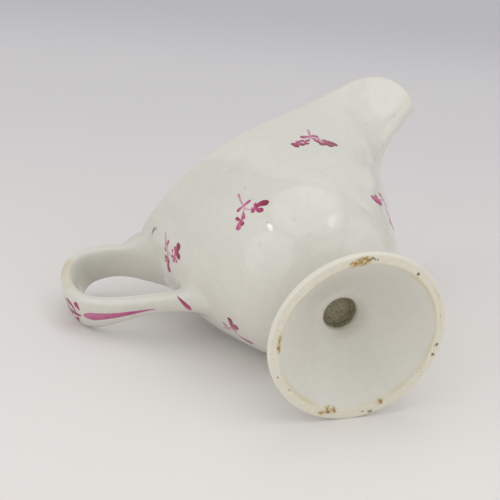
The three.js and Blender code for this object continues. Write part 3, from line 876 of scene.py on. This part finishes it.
HANGING = [
    ("stem", 1.04, 0.3, [(4.4, 4.4), (2.4, 2.3), (0.3, 0.1), (-2.0, -0.9)]),
    ("leaf", 1.28, 0.85, [(1.3, 0.6), (3.0, 0.8)]),
    ("leaf", 1.92, 0.5, [(0.7, 0.3), (1.9, 2.3)]),
    ("leaf", 1.28, 0.8, [(-0.7, 0.4), (0.1, 1.8)]),
    ("stem", 0.59, 0.3, [(-0.3, -0.2), (-0.6, -1.9), (-0.6, -3.5)]),
    ("leaf", 1.44, 0.7, [(-2.2, -1.3), (-2.6, 1.0)]),
    ("leaf", 1.28, 0.55, [(-3.2, -1.3), (-3.9, 0.8)]),
    ("leaf", 2.08, 0.8, [(-2.0, -0.9), (-3.8, -1.7)]),
    ("leaf", 2.88, 0.85, [(-3.4, -1.3), (-5.2, -1.5), (-6.8, -2.1)]),
    ("leaf", 1.92, 0.7, [(-0.5, -4.6), (1.2, -4.7), (2.4, -3.4)]),
    ("leaf", 1.28, 0.6, [(0.1, -3.5), (1.4, -2.6)]),
    ("leaf", 3.04, 1.0, [(1.0, -5.1), (2.5, -5.4), (4.1, -5.6)]),
    ("leaf", 2.56, 0.95, [(1.2, -4.8), (0.8, -6.1), (0.2, -7.8)]),
    ("leaf", 1.12, 0.8, [(-0.4, -4.4), (-0.9, -2.9)]),
    ("leaf", 1.76, 0.65, [(-0.2, -4.4), (-2.2, -4.5)]),
    ("leaf", 1.44, 0.6, [(-0.1, -4.8), (-1.8, -6.5)]),
]
THROAT = [
    ("stem", 1.12, 0.4, [(-0.5, 1.6), (0.5, 0.7), (1.6, -0.4)]),
    ("leaf", 1.7, 0.85, [(-0.2, 1.3), (-1.3, 2.0), (-2.6, 1.8)]),
    ("leaf", 2.89, 0.65, [(-4.0, -2.9), (-6.9, -4.6)]),
    ("leaf", 2.38, 0.75, [(-3.6, -2.6), (-5.0, -1.2)]),
    ("leaf", 2.21, 0.85, [(-3.2, -2.5), (-5.6, -5.4)]),
    ("leaf", 2.04, 0.9, [(-3.5, -2.2), (-3.4, -5.2)]),
    ("leaf", 1.7, 0.7, [(-2.5, -1.2), (-2.2, -3.8)]),
    ("stem", 0.7, 0.35, [(-0.5, 0.9), (-2.0, -0.6), (-3.8, -2.6)]),
    ("stem", 1.4, 0.65, [(0.6, -2.0), (1.9, -3.2), (2.6, -5.0), (2.8, -7.0)]),
    ("leaf", 2.21, 0.85, [(2.6, -6.0), (4.6, -8.0)]),
    ("leaf", 1.87, 0.75, [(2.6, -6.4), (1.4, -8.8)]),
]
BASAL = [
    ("leaf", 2.66, 1.0, [(2.7, -1.7), (5.0, -2.8), (6.7, -3.0)]),
    ("leaf", 2.66, 0.9, [(2.7, -1.8), (3.9, -5.2)]),
    ("leaf", 1.54, 0.85, [(0.8, 0.8), (2.6, 2.2)]),
    ("leaf", 1.4, 0.65, [(1.9, -1.7), (1.5, -3.6)]),
    ("stem", 0.91, 0.45, [(2.6, -1.6), (0.6, -1.4), (-1.2, -2.5)]),
    ("leaf", 1.26, 0.35, [(0.3, 0.6), (-0.1, 4.3)]),
    ("leaf", 2.24, 0.9, [(-1.1, -2.5), (-2.4, -4.3), (-3.6, -6.4)]),
    ("stem", 0.65, 0.35, [(2.6, -1.6), (1.0, 0.2), (0.2, 1.4)]),
]
print("strokes:", [len(part) for part in (BRANCHED, SPREADING, HANGING, THROAT, BASAL)])

# %% Paint the sprigs
# each sprig: strokes, angle, place up the wall, turn, and -1 where it is the other way round
SPRIGS = {
    "sprig_neck": (SPREADING, -57.4, 0.721, 0, 1),
    "sprig_belly": (BRANCHED, -110.6, 0.451, 0, 1),
    "sprig_by_handle": (HANGING, -157.1, 0.746, 0, 1),
    "sprig_throat": (THROAT, -12.0, 0.466, 0, 1),
    "sprig_low": (BASAL, 165.7, 0.369, 0, 1),
    "sprig_far_neck": (SPREADING, 60.0, 0.715, 8, -1),
    "sprig_far_belly": (BRANCHED, 104.0, 0.47, -12, -1),
    "sprig_far_handle": (HANGING, 148.0, 0.77, 6, -1),
    "sprig_far_low": (BRANCHED, 42.0, 0.36, 20, 1),
}
sprigs = []
for name, (strokes, angle, place, turn, flip) in SPRIGS.items():
    sheet = wall_sheet(angle, place, turn, flip)
    sprigs.append(closed_piece(name, *(stroke(sheet, *mark) for mark in strokes)))


# %% Strokes along the handle
FACE_STEP = 0.01


def strap_face(at, across):
    """Outer face of the strap: mm along its middle line, and mm across from that line."""
    half = np.abs(strap(at, 0.0)[..., 1])
    turn = 1.5 * np.pi + np.arcsin(np.sign(across) * np.abs(across / half) ** (1 / ROUNDNESS))
    along = strap(at + FACE_STEP, turn) - strap(at - FACE_STEP, turn)
    around = strap(at, turn + FACE_STEP) - strap(at, turn - FACE_STEP)
    return strap(at, turn), unit(np.cross(around, along))


HANDLE_STROKES = [
    ("blade", 2.85, 0.66, [(49.3, 0), (54, 0), (60, 0.3), (69.6, 0.5)]),
    ("leaf", 2.18, 1.0, [(48.2, 0.3), (45.4, 0.6), (41.6, 0.9)]),
    ("leaf", 2.42, 0.8, [(48.4, -1.6), (47.5, -4.1)]),
    ("leaf", 2.18, 1.0, [(46.6, -0.4), (45.6, -2.4), (43.6, -3.3)]),
    ("leaf", 2.07, 1.0, [(46.8, 1.4), (45.6, 3.2), (43.9, 3.8)]),
    ("leaf", 1.84, 0.9, [(44.0, 1.6), (42.2, 2.8)]),
    ("leaf", 1.84, 0.9, [(43.6, -0.2), (41.2, -1.8)]),
    ("blade", 2.1, 0.86, [(80.2, 2.0), (79.6, -0.3), (78.6, -1.8), (77.2, -3.0)]),
    ("blade", 2.55, 0.6, [(33.0, 0), (29.5, 0), (25.0, 0.1), (19.0, 0)]),
]
strap_strokes = [stroke(strap_face, *mark) for mark in HANDLE_STROKES]
handle_painting = closed_piece("handle_strokes", *strap_strokes)

# %% [markdown]
# ## Finishes
# The glaze is an off-white, slightly greenish grey coat over porcelain: glossy, a little uneven,
# with fine specks where iron came through. What is spread over more than one piece is a node
# group with named inputs, and each material uses it with its own values.


# %% Node helpers
def wire(tree, *pairs):
    """Feed each second socket from the first of its pair: another socket, or a plain value."""
    for value, socket in pairs:
        if hasattr(value, "is_output"):
            tree.links.new(value, socket)
        else:
            socket.default_value = value


def add(tree, kind, **settings):
    """New node: plain settings are its properties, and names with a capital are its inputs."""
    node = tree.nodes.new(kind)
    for key, value in settings.items():
        if key[0].isupper():
            node.inputs[key.replace("_", " ")].default_value = value
        else:
            setattr(node, key, value)
    return node


def maths(tree, operation, first, second):
    """Result of a maths node for two sockets or numbers."""
    node = add(tree, "ShaderNodeMath", operation=operation)
    wire(tree, (first, node.inputs[0]), (second, node.inputs[1]))
    return node.outputs[0]


def times(tree, total, *factors):
    """Product of sockets and numbers."""
    for factor in factors:
        total = maths(tree, "MULTIPLY", total, factor)
    return total


def plus(tree, total, *terms):
    """Sum of sockets and numbers."""
    for term in terms:
        total = maths(tree, "ADD", total, term)
    return total


def vectors(tree, operation, first, second=(0, 0, 0)):
    """Result of a vector maths node for two sockets or vectors."""
    node = add(tree, "ShaderNodeVectorMath", operation=operation)
    wire(tree, (first, node.inputs[0]), (second, node.inputs[1]))
    return node.outputs["Value" if operation in ("DOT_PRODUCT", "LENGTH") else "Vector"]


def stretch(tree, value, low, high, out_low=0.0, out_high=1.0):
    """Value carried from the range low..high to out_low..out_high and held there."""
    node = add(tree, "ShaderNodeMapRange", From_Min=low, From_Max=high)
    wire(tree, (value, node.inputs["Value"]), (out_low, node.inputs["To Min"]),
         (out_high, node.inputs["To Max"]))
    return node.outputs["Result"]


def mix_colour(tree, factor, first, second, blend="MIX"):
    """Colour mix whose factor and colours may be sockets or plain values."""
    node = add(tree, "ShaderNodeMix", data_type="RGBA", blend_type=blend)
    wire(tree, (factor, node.inputs[0]), (first, node.inputs[6]), (second, node.inputs[7]))
    return node.outputs[2]


def colour_ramp(tree, value, stops, easing="LINEAR"):
    """Colour by value, through (stop, red, green, blue) marks from 0 to 1."""
    node = add(tree, "ShaderNodeValToRGB")
    node.color_ramp.interpolation = easing
    marks = node.color_ramp.elements
    for stop, *colour in stops:
        mark = marks[0] if stop == 0 else marks[-1] if stop == 1 else marks.new(stop)
        mark.color = (*colour, 1)
    wire(tree, (value, node.inputs[0]))
    return node.outputs[0]


def object_place(tree):
    """Place on the object, in metres."""
    return add(tree, "ShaderNodeTexCoord").outputs["Object"]


def noise(tree, place, scale, detail, roughness):
    """Soft noise about 0.5, with `scale` lumps to the metre and finer ones by detail."""
    node = add(tree, "ShaderNodeTexNoise", Scale=scale, Detail=detail, Roughness=roughness)
    wire(tree, (place, node.inputs["Vector"]))
    return node.outputs["Fac"]


def attribute(tree, name):
    """Value of a mesh attribute, 0 on a piece that has none."""
    return add(tree, "ShaderNodeAttribute", attribute_name=name).outputs["Fac"]


# what a bump's full height stands for
BUMP_HEIGHT = 0.35 * MM


def bump(tree, height, strength):
    """Normal for a height socket, whose full height is BUMP_HEIGHT."""
    node = add(tree, "ShaderNodeBump", Strength=strength, Distance=BUMP_HEIGHT)
    wire(tree, (height, node.inputs["Height"]))
    return node.outputs["Normal"]


def new_material(name):
    """Material with a Principled shader, and its node tree."""
    material = bpy.data.materials.new(name)
    material.use_nodes = True
    return material, material.node_tree, material.node_tree.nodes["Principled BSDF"]


print("full height of a bump:", BUMP_HEIGHT / MM, "mm")

# %% Glaze group
GLAZE_INPUTS = [
    ("Colour", "NodeSocketColor", (0.72, 0.70, 0.635, 1)),
    ("Thick colour", "NodeSocketColor", (0.69, 0.68, 0.61, 1)),
    ("Speck colour", "NodeSocketColor", (0.50, 0.46, 0.38, 1)),
    ("Speck share", "NodeSocketFloat", 0.05),
    ("Gloss low", "NodeSocketFloat", 0.06),
    ("Gloss high", "NodeSocketFloat", 0.18),
]
GLAZE_OUTPUTS = [("Colour", "NodeSocketColor"), ("Roughness", "NodeSocketFloat"),
                 ("Height", "NodeSocketFloat")]
# lumps to the metre
CLOUDS = 38.0
MOTTLE = 420.0
RIPPLE = 95.0
SPECKS = 260.0


def glaze_group():
    """Uneven glaze: a colour with slow clouds and iron specks, its gloss, and its waviness.

    A speck is the middle of a cell whose random red value is under the speck share.
    """
    group = bpy.data.node_groups.new("uneven_glaze", "ShaderNodeTree")
    for label, kind, value in GLAZE_INPUTS:
        socket = group.interface.new_socket(label, in_out="INPUT", socket_type=kind)
        socket.default_value = value
    for label, kind in GLAZE_OUTPUTS:
        group.interface.new_socket(label, in_out="OUTPUT", socket_type=kind)
    asked = group.nodes.new("NodeGroupInput").outputs
    given = group.nodes.new("NodeGroupOutput").inputs
    place = object_place(group)
    clouds = noise(group, place, CLOUDS, 3.0, 0.55)
    mottle = noise(group, place, MOTTLE, 3.0, 0.6)
    ripple = noise(group, place, RIPPLE, 2.0, 0.4)
    cells = add(group, "ShaderNodeTexVoronoi", Scale=SPECKS)
    split = add(group, "ShaderNodeSeparateColor")
    grey = add(group, "ShaderNodeCombineColor")
    fine = stretch(group, mottle, 0.3, 0.75, 0.97, 1.02)
    wire(group, (place, cells.inputs["Vector"]), (cells.outputs["Color"], split.inputs[0]),
         *((fine, socket) for socket in grey.inputs[:3]))
    base = mix_colour(group, stretch(group, clouds, 0.35, 0.68), asked["Colour"],
                      asked["Thick colour"])
    base = mix_colour(group, 1.0, base, grey.outputs[0], "MULTIPLY")
    speck = times(group, stretch(group, cells.outputs["Distance"], 0.03, 0.12, 0.85, 0.0),
                  maths(group, "LESS_THAN", split.outputs[0], asked["Speck share"]))
    gloss = stretch(group, clouds, 0.3, 0.7, asked["Gloss low"], asked["Gloss high"])
    height = plus(group, ripple, stretch(group, mottle, 0.0, 1.0, 0.0, 0.12),
                  stretch(group, speck, 0.0, 1.0, 0.0, -0.35))
    wire(group, (mix_colour(group, speck, base, asked["Speck colour"]), given["Colour"]),
         (gloss, given["Roughness"]), (height, given["Height"]))
    return group


glaze_nodes = glaze_group()
print("glaze group:", len(glaze_nodes.nodes), "nodes")

# %% Glaze of the body and the handle
WIPED_RIM = (0.76, 0.725, 0.62, 1)
GREY_BROWN = (0.42, 0.40, 0.33, 1)
TEA = (0.66, 0.53, 0.32, 1)
# mm under the edge of the rim between which the thin glaze gets full
RIM_BAND = (1.0, 2.6)
GLASS_IOR = 1.5

glaze, tree, shader = new_material("porcelain_glaze")
uneven = add(tree, "ShaderNodeGroup", node_tree=glaze_nodes)
breaks = stretch(tree, noise(tree, object_place(tree), 520.0, 4.0, 0.65), 0.3, 0.7, 0.45, 1.0)
# the handle has no edge field and reads 0 there, so a second field keeps the band off it
rim_band = times(tree, stretch(tree, attribute(tree, "edge"), *RIM_BAND, 0.45, 0.0), breaks,
                 attribute(tree, "is_body"))
fleck = stretch(tree, times(tree, attribute(tree, "fleck"), breaks), 0.15, 0.8, 0.0, 0.30)
tea = stretch(tree, times(tree, attribute(tree, "stain"), breaks), 0.1, 1.0, 0.0, 0.55)
colour = mix_colour(tree, rim_band, uneven.outputs["Colour"], WIPED_RIM)
colour = mix_colour(tree, fleck, colour, GREY_BROWN)
colour = mix_colour(tree, tea, colour, TEA)
wire(tree, (colour, shader.inputs["Base Color"]), (GLASS_IOR, shader.inputs["IOR"]),
     (uneven.outputs["Roughness"], shader.inputs["Roughness"]),
     (bump(tree, uneven.outputs["Height"], 0.25), shader.inputs["Normal"]))
for piece in (body, handle):
    piece.data.materials.append(glaze)
print("glaze of the body and the handle:", len(tree.nodes), "nodes")

# %% [markdown]
# ## Underside of the foot
# The standing ring is wiped free of glaze before firing, so that the jug does not stick to the
# kiln shelf. It shows the bare cream clay, with a thin rusty line where the glaze stops, and it has
# taken up brown stains in use. The hole up the stem has no glaze either and is rough and dark.
# The distance from the axis says which zone a point is in, and noise makes the borders ragged.

# %% Zones of the foot
RING_STARTS = 22.2
RING_ENDS = 24.55
HOLE_STARTS = BORE_MOUTH + 1.15

foot_glaze, tree, shader = new_material("foot_glaze")
uneven = add(tree, "ShaderNodeGroup", node_tree=glaze_nodes)
wire(tree, (0.3, uneven.inputs["Gloss low"]), (0.42, uneven.inputs["Gloss high"]))
place = object_place(tree)
wander = noise(tree, place, 170.0, 3.0, 0.6)
ragged = noise(tree, place, 1100.0, 3.0, 0.7)
slow = noise(tree, place, 48.0, 1.0, 0.5)
split = add(tree, "ShaderNodeSeparateXYZ")
wire(tree, (place, split.inputs[0]))
height_mm = times(tree, split.outputs["Z"], 1 / MM)
from_axis = vectors(tree, "SUBTRACT", place, (AXIS_X * MM, 0, 0))
axis_mm = vectors(tree, "LENGTH", vectors(tree, "MULTIPLY", from_axis, (1 / MM, 1 / MM, 0)))
radius_mm = plus(tree, axis_mm, stretch(tree, wander, 0.25, 0.75, -0.22, 0.22),
                 stretch(tree, ragged, 0.25, 0.75, -0.07, 0.07))
bare = times(tree, stretch(tree, radius_mm, RING_STARTS - 0.1, RING_STARTS + 0.15),
             stretch(tree, radius_mm, RING_ENDS - 0.15, RING_ENDS + 0.1, 1.0, 0.0),
             stretch(tree, height_mm, 0.18, 0.4, 1.0, 0.0))

# the rusty line is a narrow hump across the start of the ring, broken by slow noise
line = times(tree, stretch(tree, radius_mm, RING_STARTS - 1.1, RING_STARTS - 0.15),
             stretch(tree, radius_mm, RING_STARTS - 0.05, RING_STARTS + 0.6, 1.0, 0.0),
             stretch(tree, slow, 0.38, 0.62, 0.15, 0.75),
             stretch(tree, wander, 0.35, 0.65, 0.35, 1.0),
             stretch(tree, height_mm, 0.9, 1.6, 1.0, 0.0))
# the glaze is thin on the edge of the foot, where the warm clay shows through
side_edge = times(tree, stretch(tree, radius_mm, 23.6, 24.6, 0.0, 0.7),
                  stretch(tree, height_mm, 1.6, 2.6, 1.0, 0.0))
# stains lie in crumbs: rust is yellow where it is thin and brown where it is thick
crumbs = stretch(tree, ragged, 0.40, 0.60, 0.0, 1.5)
halo = stretch(tree, attribute(tree, "rust"), 0.05, 1.0, 0.0, 0.55)
rust = stretch(tree, times(tree, attribute(tree, "rust"), crumbs), 0.35, 0.95, 0.0, 0.9)
grime = stretch(tree, times(tree, attribute(tree, "grime"), crumbs), 0.3, 0.7, 0.0, 0.9)
# painted shade on one side of the hole's mouth
hole_shade = stretch(tree, attribute(tree, "hole_shade"), 0.0, 1.0, 0.0, 0.45)
# the hole is rough dark clay above its ragged mouth, with painted light on one side of its end
deep = plus(tree, height_mm, stretch(tree, wander, 0.25, 0.75, -0.4, 0.4))
inside = times(tree, stretch(tree, deep, HOLE_STARTS, HOLE_STARTS + 0.5),
               stretch(tree, axis_mm, BORE_RADIUS + 0.3, BORE_RADIUS + 0.6, 1.0, 0.0))
# painted light: a lighter patch on one side of the hole's end
hole_light_mask = times(tree, attribute(tree, "run"), stretch(tree, ragged, 0.2, 0.6, 0.6, 1.0))
print("zones of the foot:", len(tree.nodes), "nodes")

# %% Colours and relief of the foot
BARE_CLAY = [(0.745, 0.70, 0.585, 1), (0.83, 0.79, 0.68, 1)]
WARM_EDGE = (0.82, 0.785, 0.67, 1)
RUSTY_LINE = (0.62, 0.56, 0.33, 1)
RUST_HALO = (0.66, 0.55, 0.27, 1)
RUST_COLOURS = [(0.50, 0.31, 0.06, 1), (0.27, 0.16, 0.05, 1)]
GRIME_COLOUR = (0.135, 0.105, 0.055, 1)
HOLE_CLAY = [(0.18, 0.158, 0.097, 1), (0.36, 0.33, 0.22, 1)]
# colour of the painted light in the hole
HOLE_LIGHT_COLOUR = (0.60, 0.59, 0.51, 1)
# colour of the painted shade by the hole's mouth
HOLE_SHADE_COLOUR = (0.40, 0.37, 0.28, 1)
MATT = 0.62

clay = mix_colour(tree, stretch(tree, ragged, 0.3, 0.72), *BARE_CLAY)
rust_colour = mix_colour(tree, stretch(tree, crumbs, 0.5, 1.4), *RUST_COLOURS)
hole_clay = mix_colour(tree, stretch(tree, ragged, 0.3, 0.7), *HOLE_CLAY)
hole_clay = mix_colour(tree, hole_light_mask, hole_clay, HOLE_LIGHT_COLOUR)
colour = uneven.outputs["Colour"]
for mask, laid in ((side_edge, WARM_EDGE), (bare, clay), (line, RUSTY_LINE), (halo, RUST_HALO),
                   (rust, rust_colour), (grime, GRIME_COLOUR), (hole_shade, HOLE_SHADE_COLOUR),
                   (inside, hole_clay)):
    colour = mix_colour(tree, mask, colour, laid)

matt = maths(tree, "MAXIMUM", bare, inside)
gloss = add(tree, "ShaderNodeMix", data_type="FLOAT")
sandy = times(tree, ragged, stretch(tree, matt, 0.0, 1.0, 0.0, 1.4))
relief = plus(tree, uneven.outputs["Height"], sandy, stretch(tree, matt, 0.0, 1.0, 0.6, 0.0))
wire(tree, (matt, gloss.inputs[0]), (uneven.outputs["Roughness"], gloss.inputs[2]),
     (MATT, gloss.inputs[3]), (gloss.outputs[0], shader.inputs["Roughness"]),
     (colour, shader.inputs["Base Color"]), (GLASS_IOR, shader.inputs["IOR"]),
     (bump(tree, relief, 0.35), shader.inputs["Normal"]))
foot.data.materials.append(foot_glaze)
print("glaze and clay of the foot:", len(tree.nodes), "nodes")

# %% [markdown]
# ## Enamel
# The puce is a glass with a strong colour, rubbed fine and laid on with a small brush. It is pale
# where it lies thin and dark where it lies thick. Each stroke carries its thickness as a value,
# and a colour ramp turns that into the tone, so one material paints every sprig.

# %% Enamel
# from pale pink, where the enamel is thin, to dark plum
PUCE = [(0.0, 0.66, 0.52, 0.57), (0.35, 0.60, 0.29, 0.42), (0.62, 0.52, 0.11, 0.26),
        (0.85, 0.36, 0.035, 0.105), (1.0, 0.22, 0.016, 0.045)]

enamel, tree, shader = new_material("puce_enamel")
grain = noise(tree, object_place(tree), 900.0, 3.0, 0.7)
laid = plus(tree, attribute(tree, "tone"), stretch(tree, grain, 0.25, 0.75, -0.16, 0.16))
wire(tree, (colour_ramp(tree, laid, PUCE), shader.inputs["Base Color"]),
     (stretch(tree, grain, 0.3, 0.7, 0.2, 0.4), shader.inputs["Roughness"]))
for piece in (*sprigs, handle_painting):
    piece.data.materials.append(enamel)
print("enamel:", len(tree.nodes), "nodes on", len(sprigs) + 1, "pieces")

# %% [markdown]
# ## Camera
# The view was found from the outlines: the jug lies on its side with its foot turned to the
# camera. Position and directions are in the jug's own frame, so nothing of the jug is moved.

# %% Camera
CAMERA_AT = (-87.894, -382.924, -493.286)
CAMERA_RIGHT = (0.89611, 0.29197, -0.33427)
CAMERA_UP = (0.42738, -0.77081, 0.47245)
CAMERA_BACK = (-0.11972, -0.56623, -0.81551)

FOCAL_LENGTH = 172.8
SENSOR_WIDTH = 36

lens = bpy.data.cameras.new("camera")
lens.lens = FOCAL_LENGTH
lens.sensor_width = SENSOR_WIDTH
lens.clip_start = 0.01
lens.clip_end = 20
camera = bpy.data.objects.new("camera", lens)
turn = Matrix((CAMERA_RIGHT, CAMERA_UP, CAMERA_BACK)).transposed().to_4x4()
camera.matrix_world = Matrix.Translation(Vector(CAMERA_AT) * MM) @ turn
bpy.context.scene.collection.objects.link(camera)
bpy.context.scene.camera = camera
print("camera looks along", [round(-v, 3) for v in CAMERA_BACK])

# %% [markdown]
# ## Floor and light
# The jug rests on three points: the edge of the foot, the belly, and the bow of the handle. The
# floor is the plane through them, a sheet of paper with painted shade that makes it darker and
# bluer towards the back.
# It is seen from above only, so that it hides nothing in other views.

# %% Floor
# places in mm where the jug lies on the floor
TOUCHES = np.array([(-7.2, 22.7, 0.5), (-57.9, 5.7, 71.0), (-10.4, 25.1, 49.1)])
FLOOR_RADIUS = 0.9
FLOOR_SIDES = 96
JUG_MIDDLE = (0, 0, 0.045)

floor_up = unit(np.cross(TOUCHES[2] - TOUCHES[0], TOUCHES[1] - TOUCHES[0]))
floor_up = floor_up * np.sign(-floor_up[1])
jug_points = [vertex.co for piece in (body, foot, handle) for vertex in piece.data.vertices]
floor_level = float((np.array(jug_points) @ floor_up).min())
print("floor faces", floor_up.round(4).tolist(), "level", round(floor_level / MM, 2), "mm")
below_jug = (np.eye(3) - np.outer(floor_up, floor_up)) @ np.array(JUG_MIDDLE)
floor_middle = floor_up * floor_level + below_jug
# directions along the floor: towards the near side, and to the right of that
nearer = unit(np.array(CAMERA_BACK) - floor_up * np.dot(CAMERA_BACK, floor_up))
rightward = np.cross(floor_up, nearer)
floor_turns = np.linspace(0, 2 * np.pi, FLOOR_SIDES, endpoint=False)[:, None]
rim_points = FLOOR_RADIUS * (np.cos(floor_turns) * rightward - np.sin(floor_turns) * nearer)
floor_mesh = bpy.data.meshes.new("floor")
floor_mesh.from_pydata((floor_middle + rim_points).tolist(), [], [list(range(FLOOR_SIDES))])
floor = bpy.data.objects.new("floor", floor_mesh)
bpy.context.scene.collection.objects.link(floor)

# %% Paper of the floor
# colour of the paper, with painted shade that makes it darker and bluer towards the back
PAPER_WITH_SHADE = [(0.0, 0.55, 0.545, 0.58), (0.25, 0.67, 0.655, 0.665), (0.75, 0.80, 0.775, 0.755),
         (1.0, 0.84, 0.81, 0.785)]
# metres along the floor between which the painted shade changes the paper
PAPER_SHADE_RANGE = (-0.35, 0.05)
# this share of what is seen of the floor is its own pale colour, so that its shadow stays light
FLOOR_GLOW = 0.1
GLOW_STRENGTH = 0.86

floor_paper, tree, shader = new_material("floor_paper")
shade_way = vectors(tree, "DOT_PRODUCT", object_place(tree), nearer)
paper_and_shade = colour_ramp(tree, stretch(tree, shade_way, *PAPER_SHADE_RANGE), PAPER_WITH_SHADE, "EASE")
path = add(tree, "ShaderNodeLightPath").outputs
seen = maths(tree, "MAXIMUM", path["Is Camera Ray"], path["Is Glossy Ray"])
seen = maths(tree, "MAXIMUM", seen, path["Is Transmission Ray"])
glow = add(tree, "ShaderNodeEmission", Strength=GLOW_STRENGTH)
lighten = add(tree, "ShaderNodeMixShader")
clear = add(tree, "ShaderNodeBsdfTransparent")
one_sided = add(tree, "ShaderNodeMixShader")
behind = add(tree, "ShaderNodeNewGeometry").outputs["Backfacing"]
wire(tree, (paper_and_shade, shader.inputs["Base Color"]), (0.9, shader.inputs["Roughness"]),
     (0.2, shader.inputs["Specular IOR Level"]), (paper_and_shade, glow.inputs["Color"]),
     (times(tree, seen, FLOOR_GLOW), lighten.inputs[0]), (shader.outputs[0], lighten.inputs[1]),
     (glow.outputs[0], lighten.inputs[2]), (behind, one_sided.inputs[0]),
     (lighten.outputs[0], one_sided.inputs[1]), (clear.outputs[0], one_sided.inputs[2]),
     (one_sided.outputs[0], tree.nodes["Material Output"].inputs["Surface"]))
floor.data.materials.append(floor_paper)
print("paper of the floor:", len(tree.nodes), "nodes")

# %% Lights
LIGHTS_AIM = Vector((0, 0, 0.05))
# each lamp: its direction as parts up, nearer and rightward, its distance and width in metres,
# its power, and how many times longer than wide it is
LAMPS = {
    "left_lamp": ((0.74, 0.19, -0.64), 0.9, 0.07, 0.2, 2.2),
    "right_lamp": ((0.91, 0.09, 0.42), 0.9, 0.13, 0.22, 2.2),
    "spout_lamp": ((0.86, -0.46, 0.18), 0.9, 0.6, 0.35, 1),
    "overhead": ((1, 0, 0), 1.0, 1.4, 4.15, 1),
    "front_left": ((0.35, 0.65, -0.65), 1.0, 1.2, 3.4, 1),
    "front_right": ((0.35, 0.65, 0.65), 1.0, 1.2, 2.1, 1),
    "right_wall": ((0.3, 0, 0.95), 1.0, 1.2, 2.3, 1),
    "left_wall": ((0.3, 0, -0.95), 1.0, 1.2, 1.25, 1),
    "back_wall": ((0.3, -0.95, 0), 1.0, 1.2, 1.45, 1),
}
ROOM_LIGHT = 0.29


def soft_light(name, parts, distance, size, power, tall):
    """Oval area light, placed from the jug's middle along a direction, turned to the jug."""
    data = bpy.data.lights.new(name, "AREA")
    data.shape = "ELLIPSE"
    data.energy = power
    data.size = size
    data.size_y = size * tall
    lamp = bpy.data.objects.new(name, data)
    back = unit(parts[0] * floor_up + parts[1] * nearer + parts[2] * rightward)
    long_way = unit(nearer - back * np.dot(nearer, back))
    turned = Matrix((np.cross(long_way, back), long_way, back)).transposed().to_4x4()
    lamp.matrix_world = Matrix.Translation(LIGHTS_AIM + Vector(back) * distance) @ turned
    bpy.context.scene.collection.objects.link(lamp)


for name, settings in LAMPS.items():
    soft_light(name, *settings)
world = bpy.data.worlds.new("studio")
bpy.context.scene.world = world
world.use_nodes = True
background = world.node_tree.nodes["Background"]
background.inputs["Color"].default_value = (1, 1, 1, 1)
background.inputs["Strength"].default_value = ROOM_LIGHT
bpy.context.scene.view_settings.view_transform = "Standard"
print("lamps:", len(LAMPS), "power", sum(lamp[3] for lamp in LAMPS.values()))
